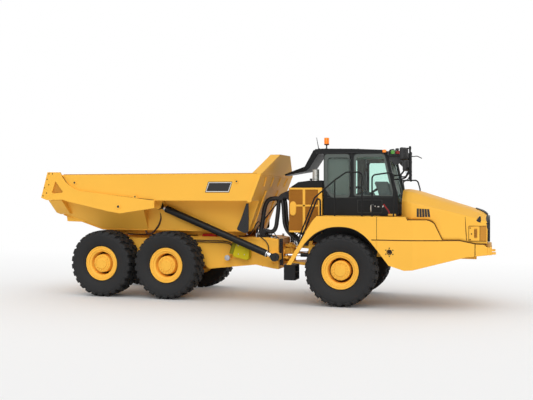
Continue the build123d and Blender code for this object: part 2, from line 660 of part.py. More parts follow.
# ---------------------------------------------------------------- front sheet metal
FENDER_FOOT_Z = 905
ARCH_INNER = [(-1091, FENDER_FOOT_Z), (-767, 1415), (-275, 1740), (209, 1740), (659, 1495), (816, 1278)]
SPLIT_X = 816


def make_fenders():
    outer = [(SPLIT_X, DECK_Z), (-520, DECK_Z), (-740, 1684), (-906, 1385), (-1203, FENDER_FOOT_Z)]
    band = side_prism(ARCH_INNER + outer, (FENDER_Y[1] - 90, FENDER_Y[1]))
    skin_inner = ARCH_INNER[1:]
    skin_outer = [(x, z + 45) for x, z in reversed(skin_inner)]
    skin = side_prism(skin_inner + skin_outer, FENDER_Y)
    deck = block((-520, SPLIT_X), (CAB_Y + MOVE_GAP, FENDER_Y[1]), (DECK_Z - PANEL_T, DECK_Z))
    fender = fuse([band, skin, deck])
    save("fenders", fender, mirrored(fender))


def panel_y(x):
    """Distance of the side panels' outer face from the centre plane."""
    if x <= BEND_X:
        return FENDER_Y[1]
    slope = (FENDER_Y[1] - NOSE_PANEL[1]) / (NOSE_PANEL[0] - BEND_X)
    return FENDER_Y[1] - slope * (x - BEND_X)


SEAM = [(1424, DECK_Z), (1473, 1930), (1918, 1930), (2012, 1866), (2190, 1505), (2540, 1500),
        (2867, 1425), (NOSE_PANEL[0], 1405)]


def make_side_panels():
    outline = [(SPLIT_X + 2, DECK_Z)] + SEAM[:-1]
    # the front corner drops clear of the hood's nose, which swings down as it opens
    outline += [(3030, 1410), (3060, 1385), (NOSE_PANEL[0], 1345)]
    outline += [(NOSE_PANEL[0], 1180), (2681, 1141), (1577, 862), (1398, 849), (1070, 950),
                (SPLIT_X + 2, 1278)]
    sheet = side_prism(outline, (500, FENDER_Y[1] + 50))
    x1, y1 = NOSE_PANEL
    plan = [(SPLIT_X, FENDER_Y[1]), (BEND_X, FENDER_Y[1]), (x1, y1), (x1, y1 - PANEL_T),
            (BEND_X, FENDER_Y[1] - PANEL_T), (SPLIT_X, FENDER_Y[1] - PANEL_T)]
    panel = sheet & plan_prism(plan, (800, 2100))
    deck = plan_prism([(SPLIT_X + 2, 1240), (SPLIT_X + 2, 1400), (1420, 1400), (1420, 1240)],
                      (DECK_Z - PANEL_T, DECK_Z))
    shelf = plan_prism([(1400, 1240), (1400, 1400), (BEND_X, 1400), (1940, panel_y(1940) - 10),
                        (1940, 1240)], (1930 - PANEL_T, 1930))
    belly = block((1180, 1220), (FRONT_RAIL_Y[1], 1400), (1080, 1240))
    front_tie = block((2700, 2740), (FRONT_RAIL_Y[1], panel_y(2740) - 10), (1160, 1260))
    side = fuse([panel, deck, shelf, belly, front_tie])
    side = side - rod((1089, 1300, 1240), (1089, 1500, 1240), 42)
    save("side_panels", side, mirrored(side))


def make_bumper():
    bar = plan_prism([(2880, -890), (3120, -890), (3200, -820), (3200, 820), (3120, 890),
                      (2880, 890)], BUMPER_Z)
    hinge_x, hinge_z = HOOD_HINGE
    loops = []
    for side in (1, -1):
        horn = [(hinge_x - 60, BUMPER_Z[1] - 5), (hinge_x - 25, hinge_z + 12),
                (hinge_x, hinge_z + 20), (hinge_x + 15, hinge_z + 10),
                (hinge_x + 15, hinge_z - 30), (hinge_x + 30, BUMPER_Z[1] - 5)]
        loops.append(side_prism(horn, (side * 250, side * 290)))
        loops.append(rod((hinge_x, side * 280, hinge_z), (hinge_x, side * 345, hinge_z),
                         HOOD_PIN_R))
    for side in (1, -1):
        loop = plan_prism([(3190, side * 410), (NOSE_X - 30, side * 410), (NOSE_X, side * 430),
                           (NOSE_X, side * 470), (NOSE_X - 30, side * 490), (3190, side * 490)],
                          (1165, 1215))
        loop = loop - rod((NOSE_X - 45, side * 450, 1100), (NOSE_X - 45, side * 450, 1300), 22)
        loops.append(loop)
    save("bumper", fuse([bar] + loops))


def hood_section(x, width, shoulder, crest, inset):
    """One cross-section of the hood; columns: half width, shoulder and crest height."""
    half = [
        (width - inset, 1400 - 2 * inset),
        (width - 15 - inset, shoulder - 270),
        (width - 110 - 0.7 * inset, shoulder - inset),
        (width * 0.72 - 0.4 * inset, crest - 55 - inset),
        (width * 0.39, crest - inset),
    ]
    plane = Plane(origin=(x, 0, 0), x_dir=(0, 1, 0), z_dir=(1, 0, 0))
    return face_on(plane, symmetric(half))


# hood stations: X, half width, shoulder height, crest height
HOOD_STATIONS = [
    (1300, 1220, 2360, 2605),
    (2150, 1225, 2170, 2385),
    (2900, 1000, 1970, 2150),
    (3105, 925, 1890, 2045),
]


def hood_shape(inset):
    first, last = HOOD_STATIONS[0][0], HOOD_STATIONS[-1][0]
    pieces = []
    for a, b in zip(HOOD_STATIONS[:-1], HOOD_STATIONS[1:]):
        faces = []
        for x, width, shoulder, crest in (a, b):
            place = x
            if inset and x == first:
                place = x + inset
            if inset and x == last:
                place = x - inset
            faces.append(hood_section(place, width, shoulder, crest, inset))
        pieces.append(loft(faces, ruled=True))
    return fuse(pieces)


def make_hood():
    shell = hood_shape(0) - hood_shape(HOOD_SKIN)
    below = [(1200, 1200), (1200, 1940)]
    below += [(x, z + DOOR_GAP + 4) for x, z in SEAM[2:]]
    below += [(3300, 1445), (3300, 1200)]
    shell = shell - side_prism(below, (-1500, 1500))
    hinge_x, hinge_z = HOOD_HINGE
    wall_x = HOOD_STATIONS[-1][0] - HOOD_SKIN
    for side in (1, -1):
        lug = [(hinge_x - 25, hinge_z), (hinge_x - 18, hinge_z - 22), (hinge_x + 18, hinge_z - 22),
               (hinge_x + 25, hinge_z), (wall_x + 5, hinge_z + 60), (wall_x + 5, hinge_z + 280),
               (wall_x - 20, hinge_z + 280)]
        lug_y = (side * (290 + MOVE_GAP), side * 335)
        shell = shell + side_prism(lug, lug_y)
        shell = shell - rod((hinge_x, side * 280, hinge_z), (hinge_x, side * 345, hinge_z),
                            HOOD_PIN_R + RUN_FIT)
    save("hood", shell)
    grille_points = [(880, 1470), (885, 1760), (820, 1880), (640, 1960), (350, 2000)]
    grille = front_prism(symmetric(grille_points), (3105 + SEAT_GAP, 3160))
    save("grille", grille)


# ---------------------------------------------------------------- cab
CAB_SIDE = [(-474, CAB_FLOOR), (1211, CAB_FLOOR), (1196, 2493), (1069, 2988), (985, 3400),
            (-474, 3400)]


def inset_side(d):
    """The cab's side outline moved inwards by the wall thickness."""
    return [(-474 + d, CAB_FLOOR + d), (1211 - d, CAB_FLOOR + d), (1196 - d, 2493),
            (1069 - d, 2988), (985 - d, 3400 - d), (-474 + d, 3400 - d)]


DOOR = [(230, CAB_FLOOR + 40), (1130, CAB_FLOOR + 40), (1115, 2493), (1000, 2988), (935, 3330),
        (230, 3330)]
REAR_PANE = [(-400, 2450), (150, 2450), (150, 3330), (-400, 3330)]
FRONT_PANE = [(255, 2450), (1105, 2450), (990, 2988), (925, 3330), (255, 3330)]
DOOR_PANE = [(290, 2420), (1060, 2420), (1055, 2480), (945, 2975), (885, 3275), (290, 3275)]


def make_cab():
    shell = side_prism(CAB_SIDE, (-CAB_Y, CAB_Y))
    shell = shell - side_prism(inset_side(CAB_WALL), (-CAB_Y + CAB_WALL, CAB_Y - CAB_WALL))
    right = (-CAB_Y - 20, -CAB_Y + CAB_WALL + 20)
    left = (CAB_Y - CAB_WALL - 20, CAB_Y + 20)
    shell = shell - side_prism(REAR_PANE, right) - side_prism(REAR_PANE, left)
    shell = shell - side_prism(FRONT_PANE, right) - side_prism(DOOR, left)
    rear_half_w = CAB_Y - 130
    screen_half_w = CAB_Y - 110
    shell = shell - block((-500, -400), (-rear_half_w, rear_half_w), (2500, 3300))
    shell = shell - block((950, 1300), (-screen_half_w, screen_half_w), (2250, 3320))
    hinge_x, hinge_y = DOOR_HINGE
    for z in DOOR_HINGE_Z:
        for lug in ((z - 60, z - 34), (z + 34, z + 60)):
            shell = shell + block((hinge_x - 50, hinge_x + 11), (CAB_Y - 5, hinge_y + 11), lug)
        shell = shell + rod((hinge_x, hinge_y, z - 50), (hinge_x, hinge_y, z + 50), DOOR_PIN_R)
    under = 3400 + SEAT_GAP
    roof_points = [(ROOF_REAR_X, 3450), (-640, under), (900, under), (985, 3425), (900, 3470),
                   (227, 3505), (-490, 3520), (ROOF_REAR_X, 3511)]
    roof = side_prism(roof_points, (-CAB_Y - 15, CAB_Y + 15))
    save("cab", shell)
    save("cab_roof", roof)
    pane_t = 8
    glass = []
    glass.append(side_prism(grown(REAR_PANE, -SEAT_GAP), (-CAB_Y + 12, -CAB_Y + 12 + pane_t)))
    glass.append(side_prism(grown(FRONT_PANE, -SEAT_GAP), (-CAB_Y + 12, -CAB_Y + 12 + pane_t)))
    glass.append(side_prism(grown(REAR_PANE, -SEAT_GAP), (CAB_Y - 12 - pane_t, CAB_Y - 12)))
    half_w = rear_half_w - SEAT_GAP
    glass.append(block((-460, -460 + pane_t), (-half_w, half_w),
                       (2500 + SEAT_GAP, 3300 - SEAT_GAP)))
    half_w = screen_half_w - SEAT_GAP
    screen_line = [(1180, 2250 + SEAT_GAP), (1173, 2493), (1046, 2988), (978, 3320 - SEAT_GAP)]
    screen = screen_line + [(x - pane_t, z) for x, z in reversed(screen_line)]
    glass.append(side_prism(screen, (-half_w, half_w)))
    save("cab_glass", *glass)


def grown(points, amount):
    """An outline moved outwards from its middle by a small amount."""
    cx = sum(x for x, z in points) / len(points)
    cz = sum(z for x, z in points) / len(points)
    return [(x + (amount if x > cx else -amount), z + (amount if z > cz else -amount))
            for x, z in points]


def make_door():
    y = (CAB_Y - CAB_WALL + 5, CAB_Y)
    frame = side_prism(grown(DOOR, -DOOR_GAP), y) - side_prism(DOOR_PANE, (y[0] - 20, y[1] + 20))
    hinge_x, hinge_y = DOOR_HINGE
    for z in DOOR_HINGE_Z:
        knuckle = rod((hinge_x, hinge_y, z - 32), (hinge_x, hinge_y, z + 32), DOOR_PIN_R + 5)
        leaf = block((hinge_x, hinge_x + 80), (hinge_y - 6, hinge_y + 6), (z - 32, z + 32))
        foot = block((hinge_x + 35, hinge_x + 80), (CAB_Y - 5, hinge_y), (z - 32, z + 32))
        frame = frame + knuckle + leaf + foot
        frame = frame - rod((hinge_x, hinge_y, z - 40), (hinge_x, hinge_y, z + 40),
                            DOOR_PIN_R + RUN_FIT)
    save("door", frame)
    pane = side_prism(grown(DOOR_PANE, -SEAT_GAP), (CAB_Y - 20, CAB_Y - 12))
    save("door_glass", pane)


def make_interior():
    floor = CAB_FLOOR + CAB_WALL + SEAT_GAP
    base = block((-60, 380), (-230, 230), (floor, 2300))
    cushion = block((-100, 420), (-260, 260), (2300 + SEAT_GAP, 2420))
    back = side_prism([(-230, 2330), (-100, 2300), (-170, 3020), (-300, 3020)], (-250, 250))
    save("seat", fuse([base, cushion, back]))
    dash_half_w = CAB_Y - CAB_WALL - 100
    dash = side_prism([(820, floor), (1140, floor), (1120, 2400), (980, 2480), (800, 2400)],
                      (-dash_half_w, dash_half_w))
    column = rod((900, 0, 2300), (690, 0, 2620), 35)
    wheel = Plane(origin=(680, 0, 2635), z_dir=(-0.55, 0, 0.84)) * Torus(190, 16)
    hub = rod((700, 0, 2605), (668, 0, 2654), 60)
    spokes = [rod((680, -185, 2635), (680, 185, 2635), 12)]
    save("dash", fuse([dash, column, hub] + spokes + [wheel]))


# ---------------------------------------------------------------- behind the cab
def make_cooler():
    chamfer = 140
    rear, front = -1330, -520
    plan = [(rear, -COOLER_Y + chamfer), (rear + chamfer, -COOLER_Y), (front, -COOLER_Y),
            (front, COOLER_Y), (rear + chamfer, COOLER_Y), (rear, COOLER_Y - chamfer)]
    box = plan_prism(plan, COOLER_Z)
    top = COOLER_Z[1] + SEAT_GAP
    cover_points = [(rear + 10, top), (rear + 190, 2750), (-840, COVER_TOP),
                    (front - 20, COVER_TOP), (front - 20, top)]
    cover = side_prism(cover_points, (-640, 640))
    leg_z = (FRONT_RAIL_Z[1] + SEAT_GAP, COOLER_Z[0] + 5)
    legs = [block((x - 40, x + 40), (side * 470, side * 530), leg_z)
            for x in (-850, -600) for side in (1, -1)]
    save("cooler", fuse([box] + legs))
    manifold = block((MANIFOLD_X, rear - SEAT_GAP), (-130, 130), (2360, 2580))
    save("cooler_cover", cover, manifold)


def make_rear_guard():
    """The swept arm behind the roof, tapering to its tip above the cooler."""
    root = ROOF_REAR_X - SEAT_GAP
    arm = side_prism([(root, 3505), (-740, 3530), (-810, 3510), (-1030, 3130), (-1560, 2960),
                      (-1560, 2920), (-1000, 3020), (-900, 3100), (root, 3455)], (-450, 450))
    taper = plan_prism([(-600, -450), (-1000, -400), (-1570, -200), (-1570, 200), (-1000, 400),
                        (-600, 450)], (2800, 3600))
    save("rear_guard", arm & taper)


def make_exhaust():
    save("exhaust_stack", rod((-730, -520, COVER_TOP + SEAT_GAP), (-730, -520, 3060), 85))


# ---------------------------------------------------------------- access and trim
def make_steps():
    steps = []
    for side in (1, -1):
        y = (side * 1030, side * 1410)
        top = FENDER_FOOT_Z - SEAT_GAP
        treads = [block((-1260, -1000), y, (z, z + 30)) for z in (560, 715, top - 30)]
        straps = [block((-1260, -1000), (side * yy, side * (yy + 12)), (560, top))
                  for yy in (1018, 1398)]
        steps.append(fuse(treads + straps))
    save("steps", *steps)


def make_handrails():
    y = FENDER_Y[1] - 100
    # each rail: side, points (X, Z), bend radii
    table = [
        (-1, [(-964, 1430), (-576, 2408), (-138, 2784), (132, 2969), (480, 2967), (480, DECK_Z)],
         [150, 150, 120, 90]),
        (-1, [(700, DECK_Z), (700, 2900), (1162, 2962), (1162, DECK_Z)], [90, 90]),
        (1, [(-964, 1430), (-576, 2408), (-400, 2600), (-400, DECK_Z)], [150, 60]),
        (1, [(1080, DECK_Z), (1080, 2815), (1440, 2820), (1500, 2600), (1500, 1930)],
         [90, 90, 90]),
    ]
    rails = [bent_tube([(x, side * y, z) for x, z in points], RAIL_R, bends)
             for side, points, bends in table]
    rails.append(rod((-124, -y, DECK_Z), (-124, -y, 2770), RAIL_R - 2))
    save("handrails", *rails)


def make_mirrors():
    units = []
    for side in (1, -1):
        y = side * 1230
        post = bent_tube([(1240, side * 1300, DECK_Z), (1240, side * 1300, 2700),
                          (1480, y, 2900), (1480, y, 3560)], 16, [120, 120])
        big = block((1430, 1470), (y - 110, y + 110), (3180, 3520))
        small = block((1430, 1470), (y - 110, y + 110), (2990, 3150))
        units.append(fuse([post, big, small]))
    save("mirrors", *units)


def make_roof_lights():
    beacon_x, beacon_y = -500, -400
    stem = rod((beacon_x, beacon_y, 3520), (beacon_x, beacon_y, 3630), 18)
    lamp = rod((beacon_x, beacon_y, 3630), (beacon_x, beacon_y, 3800), 62)
    save("beacon", stem + lamp)
    bar_x = 985 + SEAT_GAP + 20
    bar = rod((bar_x, -880, 3430), (bar_x, 880, 3430), 20)
    lights = [block((bar_x, 1130), (y - 75, y + 75), (3335, 3450)) for y in (-790, -480, 480, 790)]
    save("work_lights", fuse([bar] + lights))


def make_hoses():
    """Hoses that arch from the front unit over the hitch to the rear frame."""
    start_x = MANIFOLD_X - SEAT_GAP
    foot_z = 1450 + SEAT_GAP
    routes = [
        ([(start_x, -80, 2500), (-1800, -80, 2500), (-1985, -90, 2080), (-2020, -100, 1800),
          (-2020, -100, foot_z)], [150, 500, 700]),
        ([(start_x, 80, 2420), (-1730, 80, 2420), (-1895, 90, 2030), (-1930, 100, 1780),
          (-1930, 100, foot_z)], [130, 500, 700]),
    ]
    hoses = [bent_tube(points, 35, bends) for points, bends in routes]
    save("hoses", *hoses)


os.makedirs("parts", exist_ok=True)
make_wheels()
make_axles()
make_rear_frame()
make_bogie_beams()
make_rear_driveline()
make_rear_details()
make_hitch()
make_dump_body()
make_body_rails()
make_hoist()
make_hoist_brackets()
make_steering()
make_front_frame()
make_front_suspension()
make_engine()
make_fenders()
make_side_panels()
make_bumper()
make_hood()
make_cab()
make_door()
make_interior()
make_cooler()
make_rear_guard()
make_exhaust()
make_steps()
make_handrails()
make_mirrors()
make_roof_lights()
make_hoses()
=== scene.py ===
import math

import bmesh
import bpy
import numpy as np
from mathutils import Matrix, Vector


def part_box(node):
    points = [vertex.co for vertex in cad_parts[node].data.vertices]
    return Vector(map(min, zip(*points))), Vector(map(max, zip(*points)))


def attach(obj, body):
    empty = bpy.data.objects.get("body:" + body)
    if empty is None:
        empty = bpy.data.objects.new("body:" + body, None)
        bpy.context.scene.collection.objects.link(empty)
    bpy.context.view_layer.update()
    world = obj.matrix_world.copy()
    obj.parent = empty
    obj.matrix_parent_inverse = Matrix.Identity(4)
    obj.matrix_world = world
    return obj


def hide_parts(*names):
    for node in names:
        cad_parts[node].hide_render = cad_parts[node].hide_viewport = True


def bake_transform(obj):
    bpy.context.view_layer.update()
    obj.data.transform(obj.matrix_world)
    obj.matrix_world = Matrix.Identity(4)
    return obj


# An articulated six-wheel hauler: front unit with cab and hood, hitch, and a rear
# unit with two driven axles and a tipping body. Metres, X forwards, Z up.

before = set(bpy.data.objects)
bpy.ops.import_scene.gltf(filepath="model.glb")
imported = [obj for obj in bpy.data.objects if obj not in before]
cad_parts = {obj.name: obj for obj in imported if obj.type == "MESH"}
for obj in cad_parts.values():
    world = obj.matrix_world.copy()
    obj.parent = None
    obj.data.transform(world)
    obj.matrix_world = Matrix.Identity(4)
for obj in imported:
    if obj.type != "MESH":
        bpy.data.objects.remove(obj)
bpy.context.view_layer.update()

# ================================================================= camera
# A 50 mm lens 2.6 m above the floor, off the machine's right side and level with its
# nose, turned to look back along it.
camera_data = bpy.data.cameras.new("camera")
camera_data.lens = 50.0
camera_data.sensor_width = 36.0
camera = bpy.data.objects.new("camera", camera_data)
bpy.context.scene.collection.objects.link(camera)
camera.location = (5.1835, -17.382, 2.557)
turn, dip = 0.2895, -0.0123
look = Vector((-math.sin(turn) * math.cos(dip), math.cos(turn) * math.cos(dip), math.sin(dip)))
camera.rotation_euler = look.to_track_quat("-Z", "Y").to_euler()
bpy.context.scene.camera = camera
bpy.context.scene.view_settings.view_transform = "Standard"


# ================================================================= studio
# A seamless pale floor that fades into a white backdrop. Two broad lamps, overhead and
# off the right side, light the machine; a third lights only the floor.
class Shade:
    """A shader socket; arithmetic on it adds Math nodes and node() adds any other."""

    def __init__(self, tree, socket=None):
        self.tree, self.socket = tree, socket

    def node(self, kind, settings=None, inputs=None, out=0):
        """Any node: its type, its settings, its sockets' values or links, and the output used."""
        made = self.tree.nodes.new("ShaderNode" + kind)
        for name, value in (settings or {}).items():
            if name == "stops":
                ramp = made.color_ramp
                while len(ramp.elements) < len(value):
                    ramp.elements.new(0.5)
                for stop, (place, tone) in zip(ramp.elements, value):
                    stop.position, stop.color = place, tone
            else:
                setattr(made, name, value)
        put(self.tree, made, inputs or {})
        return Shade(self.tree, made.outputs[out])

    def math(self, operation, a, b):
        """The result of one Math node on two values or sockets."""
        return self.node("Math", {"operation": operation}, {0: a, 1: b})

    def __add__(self, other):
        return self.math("ADD", self, other)

    def __radd__(self, other):
        return self.math("ADD", other, self)

    def __sub__(self, other):
        return self.math("SUBTRACT", self, other)

    def __rsub__(self, other):
        return self.math("SUBTRACT", other, self)

    def __mul__(self, other):
        return self.math("MULTIPLY", self, other)

    def __rmul__(self, other):
        return self.math("MULTIPLY", other, self)

    def __truediv__(self, other):
        return self.math("DIVIDE", self, other)

    def clamped(self):
        """The value held between 0 and 1."""
        return self.node("Clamp", {}, {"Value": self})

    def noise(self, scale, detail=2.0):
        """Cloudy values near 0.5 over the object's own coordinates; scale is per metre."""
        place = self.node("TexCoord", out=3)
        return self.node("TexNoise", {}, {"Vector": place, "Scale": scale, "Detail": detail})

    def blend(self, factor, a, b):
        """A colour between a and b."""
        return self.node("Mix", {"data_type": "RGBA"}, {0: factor, 6: a, 7: b}, out=2)


def put(tree, node, inputs):
    """Sets or links a node's sockets."""
    for name, value in inputs.items():
        if isinstance(value, Shade):
            tree.links.new(value.socket, node.inputs[name])
        else:
            node.inputs[name].default_value = value


def tone(red, green, blue):
    """A colour written as 0-255 values, as linear light."""
    c = np.array([red, green, blue]) / 255
    linear = np.where(c > 0.04045, ((c + 0.055) / 1.055) ** 2.4, c / 12.92)
    return (*linear.tolist(), 1.0)


def material(name):
    """A new material, a Shade on its tree, and its main shader node."""
    made = bpy.data.materials.new(name)
    made.use_nodes = True
    return made, Shade(made.node_tree), made.node_tree.nodes["Principled BSDF"]


def studio():
    """The floor, the backdrop's light and the lamps; the floor fades into white behind."""
    floor_half, floor_far = 60.0, 11.0
    corners = [(-floor_half, -floor_half, 0), (floor_half, -floor_half, 0),
               (floor_half, floor_half, 0), (-floor_half, floor_half, 0)]
    mesh = bpy.data.meshes.new("studio_floor")
    mesh.from_pydata(corners, [], [(0, 1, 2, 3)])
    floor = bpy.data.objects.new("studio_floor", mesh)
    bpy.context.scene.collection.objects.link(floor)
    finish, s, shader = material("studio_floor")
    place = s.node("SeparateXYZ", {}, {0: s.node("TexCoord", out=3)}, out=1)
    seen = s.node("LightPath", out=0)
    far = ((place + 0.5) / floor_far).clamped()
    put(finish.node_tree, shader, {"Base Color": tone(243, 243, 243), "Roughness": 0.9,
                                   "Specular IOR Level": 0.1})
    white = s.node("Emission", {}, {"Color": (1, 1, 1, 1), "Strength": 1.0})
    surface = s.node("MixShader", {}, {0: seen * far, 1: Shade(s.tree, shader.outputs[0]),
                                       2: white})
    put(s.tree, finish.node_tree.nodes["Material Output"], {"Surface": surface})
    mesh.materials.append(finish)

    world = bpy.data.worlds.new("studio")
    bpy.context.scene.world = world
    world.use_nodes = True
    w = Shade(world.node_tree)
    path = w.node("LightPath")
    rays = [Shade(w.tree, path.socket.node.outputs[n])
            for n in ("Is Camera Ray", "Is Glossy Ray", "Is Transmission Ray")]
    shown = (rays[0] + rays[1] + rays[2]).clamped()
    strength = AMBIENT + shown * (1.0 - AMBIENT)
    put(w.tree, world.node_tree.nodes["Background"], {"Color": (1, 1, 1, 1), "Strength": strength})

    for name, place, spread, strength, link in LAMPS:
        data = bpy.data.lights.new(name, "SUN")
        data.angle, data.energy = math.radians(spread), strength
        lamp = bpy.data.objects.new(name, data)
        bpy.context.scene.collection.objects.link(lamp)
        lamp.rotation_euler = (-Vector(place)).to_track_quat("-Z", "Y").to_euler()
        if link:
            lit = bpy.data.collections.new(name)
            lit.objects.link(floor)
            lamp.light_linking.receiver_collection = lit
            lit.collection_objects[0].light_linking.link_state = link


AMBIENT = 0.14
LAMPS = [
    ("overhead", (0.0, 0.3, 1.0), 100, 0.5, "EXCLUDE"),
    ("front_box", (0.25, -1.0, 0.80), 50, 2.15, "EXCLUDE"),
    ("floor_wash", (0.05, -0.20, 1.0), 145, 2.72, "INCLUDE"),
]
studio()


# ================================================================= painted steel
# Pressed and welded steel panels, frames and axles, sprayed with a yellow top coat;
# hard edges of the plates are slightly rounded under the paint.
FRONT_AXLE = (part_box("tyre_front_left")[0].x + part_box("tyre_front_left")[1].x) / 2


def paint(name, colour, roughness=0.46, coat=0.03, shift=0.05, edge=0.006, grain=0.03):
    """Sprayed paint: a cloudy drift in tone, fine orange peel, and softened edges."""
    finish, s, shader = material(name)
    drift = s.noise(0.8, 3.0)
    darker = tuple(c * (1 - shift) for c in colour[:3]) + (1.0,)
    rounded = s.node("Bevel", {"samples": 3}, {"Radius": edge})
    peel = s.node("Bump", {}, {"Strength": grain, "Distance": 0.002,
                               "Height": s.noise(260.0), "Normal": rounded})
    put(s.tree, shader, {
        "Base Color": s.blend((drift * 2.4 - 0.7).clamped(), colour, darker),
        "Roughness": roughness + drift * 0.06, "Coat Weight": coat, "Coat Roughness": 0.2,
        "Specular IOR Level": 0.15, "Normal": peel})
    return finish


def dress(finish, *nodes):
    """Gives CAD nodes a material."""
    for name in nodes:
        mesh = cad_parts[name].data
        mesh.materials.clear()
        mesh.materials.append(finish)


yellow = paint("yellow_paint", tone(252, 190, 74))
black_paint = paint("black_paint", tone(27, 28, 29), 0.40, 0.06)
casting = paint("dark_casting", tone(48, 48, 49), 0.62, 0.0, grain=0.2)
dress(yellow, "dump_body", "body_rails", "rear_frame", "bogie_beams", "front_frame",
      "side_panels", "bumper", "cooler", "hitch", "axle_front", "axle_middle", "axle_rear",
      "hoist_brackets")
dress(black_paint, "cab", "cab_roof", "rear_guard", "cooler_cover", "door", "handrails",
      "steps", "hoist_barrels", "steer_barrel_left", "steer_barrel_right")


# ================================================================= tyres
# Radial rock tyres: a smooth bulging side wall moulded with a rim bead, and heavy
# staggered lugs that run from the middle of the tread over the shoulder.
def grid(points, round_u=False, round_v=False):
    """A skin of quads over points P[i, j]; a round direction joins its last row to its first."""
    m, n = points.shape[:2]
    i, j = np.meshgrid(np.arange(m if round_u else m - 1),
                       np.arange(n if round_v else n - 1), indexing="ij")
    a, b = (i + 1) % m, (j + 1) % n
    faces = np.stack([i * n + j, a * n + j, a * n + b, i * n + b], -1).reshape(-1, 4)
    return points.reshape(-1, 3), faces.tolist()


def join(*forms):
    """Several (points, faces) forms as one."""
    starts = np.cumsum([0] + [len(p) for p, f in forms[:-1]])
    faces = [[k + start for k in face] for (p, f), start in zip(forms, starts) for face in f]
    return np.concatenate([np.asarray(p, float) for p, f in forms]), faces


def copies(form, turns, shifts):
    """A form repeated: P' = R_k P + T_k for each 3 x 3 turn R and shift T."""
    points, faces = form
    many = np.einsum("kab,nb->kna", np.asarray(turns, float), points) + np.asarray(shifts)[:, None]
    n = len(points)
    return many.reshape(-1, 3), [[i + k * n for i in f] for k in range(len(many)) for f in faces]


def shifted(form, *shifts):
    """A form repeated at each shift, unturned."""
    return copies(form, np.repeat(np.eye(3)[None], len(shifts), 0), shifts)


def about_y(angles):
    """Turns about the Y axis by each angle."""
    a = np.atleast_1d(angles).astype(float)
    c, s, o = np.cos(a), np.sin(a), np.zeros_like(a)
    return np.stack([c, o, s, o, o + 1, o, -s, o, c], -1).reshape(-1, 3, 3)


def across(form):
    """A form mirrored to the other side, its faces turned back outwards."""
    points, faces = form
    return points * (1, -1, 1), [face[::-1] for face in faces]


def turned(profile, sides=64):
    """A body of revolution about the Y axis: P = (r cos a, y, r sin a) for (r, y) along the
    profile, and a from 0 to 2 pi."""
    r, y = np.asarray(profile, float).T
    a = np.linspace(0, 2 * np.pi, sides, endpoint=False)[:, None]
    return grid(np.stack([r * np.cos(a), y + 0 * a, r * np.sin(a)], -1), round_u=True)


def piece(name, form, finish, body, smooth=True, bevel=0.0, edge=35, wall=0.0):
    """Makes a mesh piece from a form, closes its seams and poles, turns its faces
    outwards and rides it on its body."""
    points, faces = form
    mesh = bpy.data.meshes.new(name)
    mesh.from_pydata(np.asarray(points, float).tolist(), [], faces)
    b = bmesh.new()
    b.from_mesh(mesh)
    bmesh.ops.remove_doubles(b, verts=b.verts, dist=1e-5)
    bmesh.ops.dissolve_degenerate(b, dist=1e-6, edges=b.edges)
    bmesh.ops.recalc_face_normals(b, faces=b.faces)
    b.to_mesh(mesh)
    b.free()
    mesh.materials.append(finish)
    made = bpy.data.objects.new(name, mesh)
    bpy.context.scene.collection.objects.link(made)
    if smooth:
        mesh.shade_smooth()
        mesh.set_sharp_from_angle(angle=math.radians(edge))
    if wall:
        shell = made.modifiers.new("wall", "SOLIDIFY")
        shell.thickness, shell.offset = wall, -1
    if bevel:
        soft = made.modifiers.new("soft_edge", "BEVEL")
        soft.width, soft.segments, soft.limit_method = bevel, 2, "ANGLE"
        soft.angle_limit = math.radians(edge)
        soft.harden_normals = True
    if body:
        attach(made, body)
    return made


def rubber(name, colour, roughness=0.72):
    """Black rubber: a cloudy bloom and a fine moulded grain."""
    finish, s, shader = material(name)
    bloom = s.noise(6.0, 4.0)
    pale = tuple(c * 1.5 for c in colour[:3]) + (1.0,)
    grain = s.node("Bump", {}, {"Strength": 0.25, "Distance": 0.003, "Height": s.noise(120.0, 3.0)})
    put(s.tree, shader, {"Base Color": s.blend((bloom * 2 - 0.6).clamped(), colour, pale),
                         "Roughness": roughness + bloom * 0.1, "Specular IOR Level": 0.4,
                         "Normal": grain})
    return finish


tyre_rubber = rubber("tyre_rubber", tone(22, 22, 23))


